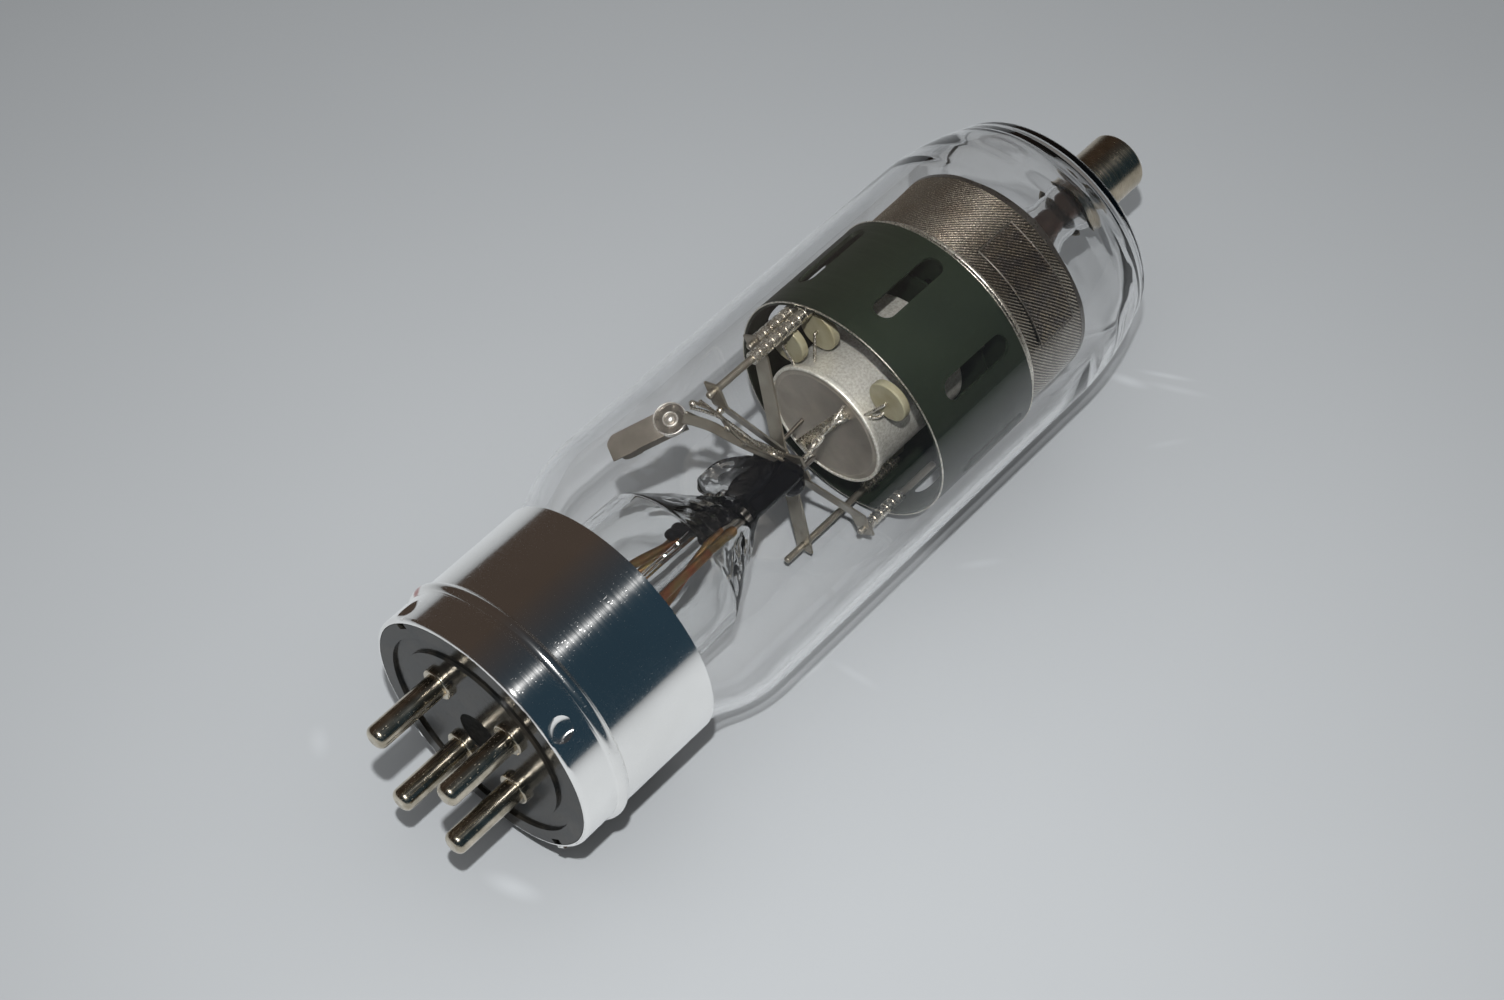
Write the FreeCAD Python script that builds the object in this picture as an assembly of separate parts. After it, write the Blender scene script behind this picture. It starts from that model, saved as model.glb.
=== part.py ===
# Gas-filled thyratron tube: four-pin metal base, clear bulb, slotted control grid, blasted cathode can
# and gauze-wrapped anode under a plug cap. All sizes are millimetres.
# It is modelled along its own axis, X, with zero at the mouth of the base shell and the cap at +X,
# and is laid on its side at the end, the bulb touching the ground at z = 0.
import FreeCAD, Part

import math
import os

V = FreeCAD.Vector
AXIS = V(1, 0, 0)

# Running clearances
FIT = 0.05
LOOSE = 0.12

# Base shell, with its bead, its turned-in edge and the dents that stake the insert
SHELL_R = 29.0
SHELL_WALL = 0.6
BASE_DEPTH = 36.2
EDGE_R = 0.9
BEAD_X = -26.15
BEAD_WIDTH = 3.3
BEAD_HEIGHT = 0.7
DENT_X = -32.9
DENT_ANGLES = (45.0, 135.0, 225.0, 315.0)
DENT_LENGTH = 5.6
DENT_DEPTH = 1.1

# Base insert
INSERT_THICK = 7.5
GROOVE_R = 22.6
GROOVE_WIDTH = 3.6
GROOVE_DEPTH = 0.7
HUB_HOLE_R = 5.5
NOTCH_ANGLES = (45.0, 225.0)
NOTCH_WIDTH = 3.0
NOTCH_DEPTH = 1.3

# Base pins, on a trapezoid so that the tube goes in one way only
PIN_R = 2.62
PIN_LENGTH = 18.1
PIN_DOME = 1.5
COLLAR_R = 3.65
COLLAR_THICK = 1.2
SHANK_R = 2.3
SHANK_TAIL = 1.0
PIN_WIDE_PITCH = 19.4
PIN_NARROW_PITCH = 14.8
PIN_ROW_GAP = 18.9
PIN_NARROW_SHIFT = -1.5
PIN_TURN = -1.7

# Bulb: neck, swelling, straight body, shoulder and domed top
GLASS_WALL = 1.6
BULB_R = 33.0
NECK_GAP = 0.5
NECK_R = SHELL_R - SHELL_WALL - NECK_GAP
NECK_END = -14.0
SWELL_START = -4.0
SWELL_END = 19.0
SHOULDER_X = 118.0
SHOULDER_CURVE = 62.0
TOP_X = 150.65
TOP_CURVE = 51.5
TOP_EDGE_R = 3.0

# Stem: flare, tube, taper and flattened pinch
STEM_WALL = 1.3
STEM_R = 18.0
FLARE_START = 2.0
STEM_SHOULDER = 19.0
PINCH_START = 38.0
PINCH_TOP = 53.0
PINCH_HALF_WIDTH = 8.0
PINCH_HALF_THICK = 3.2
PINCH_ANGLE = 150.0
HOLLOW_END = 35.0
HOLLOW_HALF_WIDTH = 7.4
HOLLOW_HALF_THICK = 3.0
EXHAUST_R = 2.6
EXHAUST_WALL = 0.9
EXHAUST_END = -24.0

# Leads through the pinch and on to the pins
LEAD_R = 0.6
LEAD_SPOTS = (-6.3, -4.0, 4.0, 6.3)
LEAD_TO_PIN = (1, 0, 3, 2)
LEAD_BOTTOM = 28.0
LEAD_TOP = 57.0
BRAID_R = 1.0
BRAID_SOCKET = 3.0

# Basing cement between the neck and the shell
CEMENT_START = -13.0
CEMENT_END = -5.0

# Top cap, anode lead and the glass sleeve round it
CAP_R = 7.2
CAP_WALL = 0.5
CAP_END = 170.5
CAP_EDGE_R = 0.8
ANODE_LEAD_R = 3.85
SLEEVE_R = 5.85
SLEEVE_START = 128.0
SLEEVE_END = 153.0

# Electrodes, set in from the bulb
GRID_TO_GLASS = 3.3
GRID_R = BULB_R - GLASS_WALL - GRID_TO_GLASS

# Anode
ANODE_INSET = 2.4
ANODE_R = GRID_R - ANODE_INSET
ANODE_WALL = 0.8
ANODE_START = 103.2
ANODE_END = 123.4
ANODE_TOP_THICK = 1.5
ANODE_TOP_R = ANODE_R + 0.6
RING_R = ANODE_R + 1.2
RING_WIDTH = 1.1
GAUZE_THICK = 0.55
GAUZE_RIDGE = 0.25
GAUZE_RIDGES = 120
PATCH_THICK = 0.45
PATCH_FROM = 104.5
PATCH_TO = 159.0
PATCH_RIDGES = 26
PATCH_START = 107.9
PATCH_END = 118.9

# Control grid: slotted cylinder, perforated top plate and the baffle below it
GRID_WALL = 0.8
GRID_START = 71.7
GRID_END = 102.0
SLOT_START = 79.0
SLOT_END = 98.9
SLOT_WIDTH = 5.0
SLOT_COUNT = 8
SLOT_FIRST = 96.5
GRID_PLATE_THICK = 0.8
GRID_HOLE_R = 2.2
GRID_HOLE_ORBIT = 15.0
GRID_HOLE_COUNT = 12
BAFFLE_GAP = 2.2
BAFFLE_R = 18.5
BAFFLE_THICK = 0.6
BAFFLE_POSTS = 3
BAFFLE_POST_R = 1.0
BAFFLE_POST_ORBIT = 9.0

# Cathode can with its rolled rim, end disc, coated core and folded heater
CAN_TO_GRID = 13.5
CAN_R = GRID_R - CAN_TO_GRID
CAN_WALL = 0.5
CAN_START = 66.6
CAN_END = 95.0
RIM_R = CAN_R + 0.6
RIM_WIDTH = 1.5
END_DISC_R = CAN_R - 1.8
END_DISC_THICK = 0.6
CORE_R = 6.0
CORE_WALL = 0.6
VANE_COUNT = 8
VANE_THICK = 0.4
HEATER_R = 0.7
HEATER_SPAN = 4.0

# Support rods: angle, lower end, upper end, and the two ends of the crimped sleeve
ROD_R = 0.8
ROD_SLEEVE_R = 1.4
RODS = (
    (66.0, 42.2, 84.0, 55.5, 75.0),
    (57.0, 58.5, 86.0, 61.0, 74.5),
    (-103.5, 48.2, 86.0, 74.6, 84.2),
    (-125.0, 62.2, 87.5, 65.0, 76.0),
)
CRIMP_PITCH = 2.0
CRIMP_DEPTH = 0.25
CRIMP_WIDTH = 0.8

# Straps from the hub on the pinch out to the rods: station where each one meets its rod
STRAP_WIDTH = 4.4
STRAP_THICK = 0.5
STRAP_STATIONS = (44.0, 60.0, 53.9, 63.7)
STRAP_INNER = 0.9
STRAP_BEND = 3.6
STRAP_TAB = 3.6
STRAP_OVERHANG = 1.8
HUB_HALF_WIDTH = 7.4
HUB_HALF_DEPTH = 2.9
HUB_THICK = 0.6
HUB_LEAD_GAP = 0.6

# Ceramic spacer discs (angle, station of the lower face) and the wires that tie them to the can
DISC_R = 4.8
DISC_THICK = 1.9
DISCS = ((53.0, 67.9), (66.0, 73.4), (131.0, 70.6), (262.0, 84.0), (311.0, 80.0))
TIE_R = 0.35
TIE_TAIL = 1.6

# Heater terminal on the end disc, and the two leads that feed the cathode
TERMINAL_ANGLE = 124.0
TERMINAL_WIDTH = 2.6
TERMINAL_THICK = 0.5
TERMINAL_FOOT = (END_DISC_R - 2.2, END_DISC_R - 6.2)
TERMINAL_TIP = 3.6
TERMINAL_RISE = 5.6
TERMINAL_EYE_R = 0.8
FEED_R = 0.5

# Getter: ring on its shield, and the wire that carries them
GETTER_CENTRE = V(38.0, 17.5, 14.5)
GETTER_NORMAL = V(-0.35, -0.1, 0.93)
GETTER_R = 3.2
GETTER_HEIGHT = 1.3
GETTER_WALL = 0.25
GETTER_CHANNEL = 1.5
SHIELD_REACH = V(-11.0, 6.0, -4.0)
SHIELD_LENGTH = 14.0
SHIELD_BACK = 2.6
SHIELD_WIDTH = 5.4
SHIELD_FLANGE = 2.8
SHIELD_THICK = 0.3
SHIELD_CORNER = 2.0
GETTER_WIRE_R = 0.4
GETTER_WIRE_SPOT = 5.0

# The tube is centred along X and lies on its bulb
PIN_TIP = -BASE_DEPTH - PIN_LENGTH
CENTRE = -(PIN_TIP + CAP_END) / 2
LAID = V(CENTRE, 0, BULB_R)


def polar(x, radius, degrees):
    """Point at a station, a radius and an angle from +Y towards +Z."""
    a = math.radians(degrees)
    return V(x, radius * math.cos(a), radius * math.sin(a))


def radial(degrees):
    return polar(0, 1, degrees)


def spin(points):
    """Solid of revolution about the tube axis from (station, radius) corners."""
    wire = Part.makePolygon([V(x, r, 0) for x, r in points] + [V(points[0][0], points[0][1], 0)])
    return Part.Face(wire).revolve(V(0, 0, 0), AXIS, 360)


def tube(start, end, outer, inner=0.0):
    body = Part.makeCylinder(outer, end - start, V(start, 0, 0), AXIS)
    if inner > 0:
        body = body.cut(Part.makeCylinder(inner, end - start, V(start, 0, 0), AXIS))
    return body


def rod(start, end, radius):
    """Round bar between two points."""
    run = end - start
    return Part.makeCylinder(radius, run.Length, start, run)


def joined(parts):
    """One solid from parts that touch or overlap."""
    body = parts[0]
    for other in parts[1:]:
        body = body.fuse(other)
    return body.removeSplitter()


def ball(centre, radius):
    return Part.makeSphere(radius, centre)


def round_edges(body):
    """Circular edges, leaving out the points where a solid of revolution meets its axis."""
    return [e for e in body.Edges if not e.Degenerated and isinstance(e.Curve, Part.Circle)]


def circle_edges(body, low, high):
    """Full-circle edges about the axis whose station lies between two values."""
    return [e for e in round_edges(body)
            if low < e.Curve.Center.x < high
            and abs(abs(e.Curve.Axis.x) - 1) < 1e-6
            and math.hypot(e.Curve.Center.y, e.Curve.Center.z) < 1e-6]


def save(name, shape):
    laid = shape.copy()
    laid.translate(LAID)
    if not laid.isValid() or not laid.Solids:
        raise ValueError("unsound solid: " + name)
    laid.exportStep("parts/" + name + ".step")
    print(name, len(laid.Solids), round(laid.Volume, 1))


def pin_places():
    """Pin centres in the base, numbered from the upper right round to the lower left."""
    top, low = PIN_ROW_GAP / 2, -PIN_ROW_GAP / 2
    shift = PIN_NARROW_SHIFT
    flat = ((PIN_WIDE_PITCH / 2, top), (shift + PIN_NARROW_PITCH / 2, low),
            (-PIN_WIDE_PITCH / 2, top), (shift - PIN_NARROW_PITCH / 2, low))
    a = math.radians(PIN_TURN)
    return [(y * math.cos(a) - z * math.sin(a), y * math.sin(a) + z * math.cos(a)) for y, z in flat]


# Base

def dent_ball(degrees, grow):
    """Ball whose cap is one staking dent; grow thickens it to the back of the sheet."""
    half = DENT_LENGTH / 2
    radius = (half * half + DENT_DEPTH * DENT_DEPTH) / (2 * DENT_DEPTH)
    return ball(polar(DENT_X, SHELL_R - DENT_DEPTH + radius, degrees), radius + grow)


def shell_form(outer, end):
    """Outside of the shell, or its inside when drawn one wall smaller."""
    half = BEAD_WIDTH / 2
    crown = outer + BEAD_HEIGHT
    line = Part.LineSegment
    edges = [
        line(V(-end, 0, 0), V(-end, outer - EDGE_R, 0)),
        Part.Arc(V(-end, outer - EDGE_R, 0),
                 V(-end + EDGE_R * (1 - math.sqrt(0.5)), outer - EDGE_R * (1 - math.sqrt(0.5)), 0),
                 V(-end + EDGE_R, outer, 0)),
        line(V(-end + EDGE_R, outer, 0), V(BEAD_X - half, outer, 0)),
        Part.Arc(V(BEAD_X - half, outer, 0), V(BEAD_X, crown, 0), V(BEAD_X + half, outer, 0)),
        line(V(BEAD_X + half, outer, 0), V(0, outer, 0)),
        line(V(0, outer, 0), V(0, 0, 0)),
        line(V(0, 0, 0), V(-end, 0, 0)),
    ]
    wire = Part.Wire([e.toShape() for e in edges])
    return Part.Face(wire).revolve(V(0, 0, 0), AXIS, 360)


def base_shell():
    inner = SHELL_R - SHELL_WALL
    outside = shell_form(SHELL_R, BASE_DEPTH)
    inside = shell_form(inner, BASE_DEPTH - SHELL_WALL)
    mouth = tube(-BASE_DEPTH, 0, inner - EDGE_R + SHELL_WALL)
    body = outside.cut(inside).cut(mouth)
    for degrees in DENT_ANGLES:
        back = dent_ball(degrees, SHELL_WALL).common(tube(-BASE_DEPTH, 0, SHELL_R))
        body = body.fuse(back)
    for degrees in DENT_ANGLES:
        body = body.cut(dent_ball(degrees, 0))
    return body.removeSplitter()


def base_insert():
    """Moulded wafer: a step behind the turned-in edge, groove, centre hole and notches."""
    face = -BASE_DEPTH
    seat = SHELL_R - SHELL_WALL - EDGE_R + SHELL_WALL - LOOSE
    body_r = SHELL_R - SHELL_WALL - LOOSE
    step = face + SHELL_WALL + EDGE_R
    body = joined([tube(face, step, seat), tube(step, face + INSERT_THICK, body_r)])
    groove = tube(face, face + GROOVE_DEPTH, GROOVE_R + GROOVE_WIDTH / 2, GROOVE_R - GROOVE_WIDTH / 2)
    body = body.cut(groove).cut(tube(face, face + INSERT_THICK, HUB_HOLE_R))
    for degrees in DENT_ANGLES:
        body = body.cut(dent_ball(degrees, SHELL_WALL + LOOSE))
    for degrees in NOTCH_ANGLES:
        notch = Part.makeBox(step - face + 1, NOTCH_DEPTH * 2, NOTCH_WIDTH,
                             V(face - 1, seat - NOTCH_DEPTH, -NOTCH_WIDTH / 2))
        body = body.cut(notch.rotated(V(0, 0, 0), AXIS, degrees))
    for y, z in pin_places():
        shank = Part.makeCylinder(SHANK_R, INSERT_THICK, V(face, y, z), AXIS)
        body = body.cut(shank)
    return body


def base_pin(y, z):
    """Pin with a domed end, a collar on the insert and a shank riveted through it."""
    face = -BASE_DEPTH
    inner_end = face + INSERT_THICK + SHANK_TAIL
    centre = V(0, y, z)
    body = Part.makeCylinder(PIN_R, PIN_LENGTH, V(PIN_TIP, 0, 0) + centre, AXIS)
    tip = [e for e in round_edges(body) if e.Curve.Center.x < PIN_TIP + 0.1]
    body = body.makeFillet(PIN_DOME, tip)
    collar = Part.makeCylinder(COLLAR_R, COLLAR_THICK, V(face - COLLAR_THICK, 0, 0) + centre, AXIS)
    outer = [e for e in round_edges(collar) if e.Curve.Center.x < face - COLLAR_THICK / 2]
    collar = collar.makeFillet(COLLAR_THICK / 3, outer)
    shank = Part.makeCylinder(SHANK_R, inner_end - face, V(face, 0, 0) + centre, AXIS)
    return joined([body, collar, shank])


def base_cement():
    return tube(CEMENT_START, CEMENT_END, SHELL_R - SHELL_WALL - FIT / 2, NECK_R + FIT / 2)


# Glass

def circle_cross(c1, r1, c2, r2):
    """Crossing of two circles in (station, radius), on the outer side."""
    dx, dy = c2[0] - c1[0], c2[1] - c1[1]
    d = math.hypot(dx, dy)
    along = (d * d + r1 * r1 - r2 * r2) / (2 * d)
    off = math.sqrt(r1 * r1 - along * along)
    mx, my = c1[0] + along * dx / d, c1[1] + along * dy / d
    ends = ((mx - off * dy / d, my + off * dx / d), (mx + off * dy / d, my - off * dx / d))
    return max(ends, key=lambda p: p[1])


def arc_between(centre, radius, first, last):
    """Arc from one (station, radius) point to another, on its shorter side."""
    a = math.atan2(first[1] - centre[1], first[0] - centre[0])
    b = math.atan2(last[1] - centre[1], last[0] - centre[0])
    middle = (a + b) / 2
    mid = V(centre[0] + radius * math.cos(middle), centre[1] + radius * math.sin(middle), 0)
    return Part.Arc(V(first[0], first[1], 0), mid, V(last[0], last[1], 0))


def bulb_form(inset):
    """Closed body of the bulb, drawn in from the outside by inset."""
    rise, run = BULB_R - NECK_R, SWELL_END - SWELL_START
    curve = (run * run + rise * rise) / (4 * rise)
    low_centre = (SWELL_START, NECK_R + curve)
    high_centre = (SWELL_END, BULB_R - curve)
    middle = ((SWELL_START + SWELL_END) / 2, (NECK_R + BULB_R) / 2)
    slope = math.atan2(high_centre[1] - low_centre[1], high_centre[0] - low_centre[0])
    turn = (middle[0] + inset * math.cos(slope), middle[1] + inset * math.sin(slope))
    shoulder_centre = (SHOULDER_X, BULB_R - SHOULDER_CURVE)
    top_centre = (TOP_X - TOP_CURVE, 0)
    corner = circle_cross(shoulder_centre, SHOULDER_CURVE - inset, top_centre, TOP_CURVE - inset)
    neck, body = NECK_R - inset, BULB_R - inset
    line = Part.LineSegment
    edges = [
        line(V(NECK_END, 0, 0), V(NECK_END, neck, 0)),
        line(V(NECK_END, neck, 0), V(SWELL_START, neck, 0)),
        arc_between(low_centre, curve + inset, (SWELL_START, neck), turn),
        arc_between(high_centre, curve - inset, turn, (SWELL_END, body)),
        line(V(SWELL_END, body, 0), V(SHOULDER_X, body, 0)),
        arc_between(shoulder_centre, SHOULDER_CURVE - inset, (SHOULDER_X, body), corner),
        arc_between(top_centre, TOP_CURVE - inset, corner, (TOP_X - inset, 0)),
        line(V(TOP_X - inset, 0, 0), V(NECK_END, 0, 0)),
    ]
    solid = Part.Face(Part.Wire([e.toShape() for e in edges])).revolve(V(0, 0, 0), AXIS, 360)
    edge = circle_edges(solid, corner[0] - 0.01, corner[0] + 0.01)
    return solid.makeFillet(TOP_EDGE_R - inset / 2, edge)


def bulb():
    hole = tube(SLEEVE_START, SLEEVE_END, SLEEVE_R)
    return bulb_form(0).cut(bulb_form(GLASS_WALL)).cut(hole)


def oval(x, half_width, half_thick):
    """Oval section across the tube, its long axis along the width of the pinch."""
    if half_width < half_thick + 1e-6:
        ring = Part.Circle(V(x, 0, 0), AXIS, half_width)
        return Part.Wire([ring.toShape()])
    major = polar(x, half_width, PINCH_ANGLE)
    minor = polar(x, half_thick, PINCH_ANGLE + 90)
    return Part.Wire([Part.Ellipse(major, minor, V(x, 0, 0)).toShape()])


def taper(start, end, begin_r, half_width, half_thick):
    """Glass drawn down from a round tube to an oval, in smooth steps."""
    steps = 5
    sections = []
    for i in range(steps + 1):
        t = i / steps
        ease = t * t * (3 - 2 * t)
        wide = begin_r + (half_width - begin_r) * (0.75 * t + 0.25 * ease)
        thick = begin_r + (half_thick - begin_r) * (0.9 * t + 0.1 * ease)
        sections.append(oval(start + (end - start) * t, wide + 1e-3 * t, thick))
    return Part.makeLoft(sections, True, False)


def stem():
    """Flare, tube and pinch blown from one piece, with holes where the leads are sealed in."""
    inner_r = STEM_R - STEM_WALL
    flare_out = NECK_R - GLASS_WALL
    lip = NECK_END - STEM_WALL
    mid = (NECK_END + FLARE_START) / 2
    outside = [(lip, 0), (lip, NECK_R), (NECK_END, NECK_R), (NECK_END, flare_out - 2 * STEM_WALL),
               (mid, STEM_R + 1.2), (FLARE_START, STEM_R), (STEM_SHOULDER, STEM_R), (STEM_SHOULDER, 0)]
    inside = [(lip, 0), (lip, flare_out - 4 * STEM_WALL), (mid, inner_r + 1.0), (FLARE_START, inner_r),
              (STEM_SHOULDER, inner_r), (STEM_SHOULDER, 0)]
    outer = joined([spin(outside),
                    taper(STEM_SHOULDER, PINCH_START, STEM_R, PINCH_HALF_WIDTH, PINCH_HALF_THICK),
                    pinch_block()])
    hollow = joined([spin(inside),
                     taper(STEM_SHOULDER, HOLLOW_END, inner_r, HOLLOW_HALF_WIDTH, HOLLOW_HALF_THICK)])
    body = outer.cut(hollow)
    for spot in LEAD_SPOTS:
        body = body.cut(stem_lead(spot))
    return body


def pinch_block():
    """Flat end of the stem, rounded where it was pressed."""
    sections = [oval(PINCH_START, PINCH_HALF_WIDTH + 1e-3, PINCH_HALF_THICK),
                oval(PINCH_TOP - 1.5, PINCH_HALF_WIDTH + 0.5, PINCH_HALF_THICK),
                oval(PINCH_TOP, PINCH_HALF_WIDTH, PINCH_HALF_THICK - 0.4)]
    return Part.makeLoft(sections, True, True)


def stem_lead(spot):
    place = polar(0, spot, PINCH_ANGLE)
    return Part.makeCylinder(LEAD_R, LEAD_TOP - LEAD_BOTTOM, V(LEAD_BOTTOM, 0, 0) + place, AXIS)


def exhaust_tube():
    return tube(EXHAUST_END, HOLLOW_END, EXHAUST_R, EXHAUST_R - EXHAUST_WALL)


def base_braid(spot, pin_index):
    """Copper braid from the foot of a lead to the inner end of its pin."""
    y, z = pin_places()[pin_index]
    foot = V(-BASE_DEPTH + INSERT_THICK + SHANK_TAIL + BRAID_R, y, z)
    top = polar(LEAD_BOTTOM + BRAID_SOCKET, spot, PINCH_ANGLE)
    knee = polar(LEAD_BOTTOM - BRAID_R, spot, PINCH_ANGLE)
    pad = Part.makeCylinder(BRAID_R, BRAID_R, foot - V(BRAID_R, 0, 0), AXIS)
    body = joined([pad, ball(foot, BRAID_R), rod(foot, knee, BRAID_R), ball(knee, BRAID_R),
                   rod(knee, top, BRAID_R)])
    return body.cut(stem_lead(spot))


# Top cap and anode

def top_cap():
    start = TOP_X + LOOSE
    body = tube(start, CAP_END, CAP_R)
    edge = circle_edges(body, CAP_END - 0.01, CAP_END + 0.01)
    body = body.makeFillet(CAP_EDGE_R, edge)
    return body.cut(tube(start, CAP_END - CAP_WALL, CAP_R - CAP_WALL))


def anode_lead():
    return tube(ANODE_END, CAP_END - CAP_WALL, ANODE_LEAD_R)


def anode_seal():
    """Glass sleeve fused round the lead, with a rounded lower end."""
    body = tube(SLEEVE_START, SLEEVE_END, SLEEVE_R)
    edges = circle_edges(body, SLEEVE_START - 0.01, SLEEVE_START + 0.01)
    body = body.makeFillet((SLEEVE_R - ANODE_LEAD_R) * 0.6, edges)
    return body.cut(tube(SLEEVE_START, SLEEVE_END, ANODE_LEAD_R))


def anode_cup():
    top = ANODE_END - ANODE_TOP_THICK
    outside = tube(ANODE_START, top, ANODE_R)
    return outside.cut(tube(ANODE_START + ANODE_WALL, top, ANODE_R - ANODE_WALL))


def anode_top():
    body = tube(ANODE_END - ANODE_TOP_THICK, ANODE_END, ANODE_TOP_R)
    edge = circle_edges(body, ANODE_END - 0.01, ANODE_END + 0.01)
    return body.makeFillet(ANODE_TOP_THICK / 3, edge)


def ridged(start, end, inner, outer, depth, first, last, count):
    """Woven sheet round the anode: a strip of ridges between two angles."""
    pitch = (last - first) / count
    closed = abs(last - first - 360) < 1e-9
    crests = []
    for i in range(count):
        crests.append(polar(start, outer - depth, first + i * pitch))
        crests.append(polar(start, outer, first + (i + 0.5) * pitch))
    if closed:
        wire = Part.makePolygon(crests + [crests[0]])
        body = Part.Face(wire).extrude(V(end - start, 0, 0))
        return body.cut(tube(start, end, inner))
    crests.append(polar(start, outer - depth, last))
    back = Part.Arc(polar(start, inner, last), polar(start, inner, (first + last) / 2),
                    polar(start, inner, first))
    sides = [Part.makePolygon(crests), Part.makePolygon([crests[-1], polar(start, inner, last)]),
             back.toShape(), Part.makePolygon([polar(start, inner, first), crests[0]])]
    edges = [e for side in sides for e in side.Edges]
    return Part.Face(Part.Wire(edges)).extrude(V(end - start, 0, 0))


def anode_gauze():
    return ridged(ANODE_START + RING_WIDTH, ANODE_END - ANODE_TOP_THICK, ANODE_R + FIT / 2,
                  ANODE_R + GAUZE_THICK, GAUZE_RIDGE, 0, 360, GAUZE_RIDGES)


def gauze_patch():
    inner = ANODE_R + GAUZE_THICK + FIT / 2
    return ridged(PATCH_START, PATCH_END, inner, inner + PATCH_THICK, GAUZE_RIDGE,
                  PATCH_FROM, PATCH_TO, PATCH_RIDGES)


def anode_ring():
    return tube(ANODE_START, ANODE_START + RING_WIDTH, RING_R, ANODE_R)


# Control grid

def grid_cylinder():
    """Cylinder with its long round-ended slots punched through."""
    body = tube(GRID_START, GRID_END, GRID_R, GRID_R - GRID_WALL)
    half = SLOT_WIDTH / 2
    for i in range(SLOT_COUNT):
        degrees = SLOT_FIRST + i * 360 / SLOT_COUNT
        out = radial(degrees)
        reach = GRID_R + 1
        low = Part.makeCylinder(half, reach, V(SLOT_START + half, 0, 0), out)
        high = Part.makeCylinder(half, reach, V(SLOT_END - half, 0, 0), out)
        bar = Part.makeBox(SLOT_END - SLOT_START - SLOT_WIDTH, reach, SLOT_WIDTH,
                           V(SLOT_START + half, 0, -half)).rotated(V(0, 0, 0), AXIS, degrees)
        inner = tube(SLOT_START - 1, SLOT_END + 1, GRID_R / 2)
        body = body.cut(joined([low, bar, high]).cut(inner))
    return body


def grid_plate():
    """Perforated plate that closes the upper end of the grid."""
    start = GRID_END - GRID_PLATE_THICK
    body = tube(start, GRID_END, GRID_R - GRID_WALL - FIT / 2)
    for i in range(GRID_HOLE_COUNT):
        place = polar(start, GRID_HOLE_ORBIT, i * 360 / GRID_HOLE_COUNT)
        body = body.cut(Part.makeCylinder(GRID_HOLE_R, GRID_PLATE_THICK, place, AXIS))
    return body


def grid_baffle():
    """Disc hung under the plate on short posts, so that ions take a bent path."""
    plate = GRID_END - GRID_PLATE_THICK
    top = plate - BAFFLE_GAP
    parts = [tube(top - BAFFLE_THICK, top, BAFFLE_R)]
    for i in range(BAFFLE_POSTS):
        place = polar(top, BAFFLE_POST_ORBIT, i * 360 / BAFFLE_POSTS)
        parts.append(Part.makeCylinder(BAFFLE_POST_R, BAFFLE_GAP, place, AXIS))
    return joined(parts)


# Cathode

def cathode_can():
    """Blasted can, open at the top, with a rolled rim round the end disc."""
    wall = tube(CAN_START, CAN_END, CAN_R, CAN_R - CAN_WALL)
    rim = tube(CAN_START, CAN_START + RIM_WIDTH, RIM_R, END_DISC_R)
    edges = circle_edges(rim, CAN_START - 0.01, CAN_START + RIM_WIDTH + 0.01)
    rim = rim.makeFillet(RIM_WIDTH / 4, [e for e in edges if e.Curve.Radius > CAN_R])
    return joined([wall, rim])


def cathode_disc():
    start = CAN_START + END_DISC_THICK / 2
    return tube(start, start + END_DISC_THICK, END_DISC_R)


def cathode_core():
    """Coated sleeve with its radiating vanes, standing on the end disc."""
    start = CAN_START + END_DISC_THICK * 1.5
    end = CAN_END - 2 * RIM_WIDTH
    parts = [tube(start, end, CORE_R)]
    for i in range(VANE_COUNT):
        vane = Part.makeBox(end - start, CAN_R - CAN_WALL - FIT, VANE_THICK, V(start, 0, -VANE_THICK / 2))
        parts.append(vane.rotated(V(0, 0, 0), AXIS, i * 360 / VANE_COUNT + 180 / VANE_COUNT))
    body = joined(parts).cut(tube(start, end, CORE_R - CORE_WALL))
    return body.cut(tube(start, start + 2 * RIM_WIDTH, RIM_R, END_DISC_R - RIM_WIDTH))


def heater():
    """Folded heater rod inside the core."""
    start = CAN_START + END_DISC_THICK * 1.5
    bend = CAN_END - 4 * RIM_WIDTH
    half = HEATER_SPAN / 2
    legs = [rod(V(start, y, 0), V(bend, y, 0), HEATER_R) for y in (-half, half)]
    ring = Part.makeTorus(half, HEATER_R, V(bend, 0, 0), V(0, 0, 1))
    room = Part.makeBox(HEATER_SPAN, 2 * HEATER_SPAN, 2 * HEATER_SPAN, V(bend, -HEATER_SPAN, -HEATER_SPAN))
    return joined(legs + [ring.common(room)])


def heater_terminal():
    """Flat lead with an eyed foot on the end disc, standing off over its middle."""
    disc = CAN_START + END_DISC_THICK / 2
    outer, inner = TERMINAL_FOOT
    low = disc - TERMINAL_RISE
    t = TERMINAL_THICK
    line = [V(disc, outer, 0), V(disc, inner, 0), V(low, -TERMINAL_TIP, 0), V(low - t, -TERMINAL_TIP, 0),
            V(disc - t, inner, 0), V(disc - t, outer, 0), V(disc, outer, 0)]
    body = Part.Face(Part.makePolygon(line)).extrude(V(0, 0, TERMINAL_WIDTH))
    body.translate(V(0, 0, -TERMINAL_WIDTH / 2))
    eye_at = outer - TERMINAL_WIDTH / 2
    eye = Part.makeCylinder(TERMINAL_EYE_R, 2 * t, V(disc - 1.5 * t, eye_at, 0), AXIS)
    return body.cut(eye).rotated(V(0, 0, 0), AXIS, TERMINAL_ANGLE)


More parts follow.
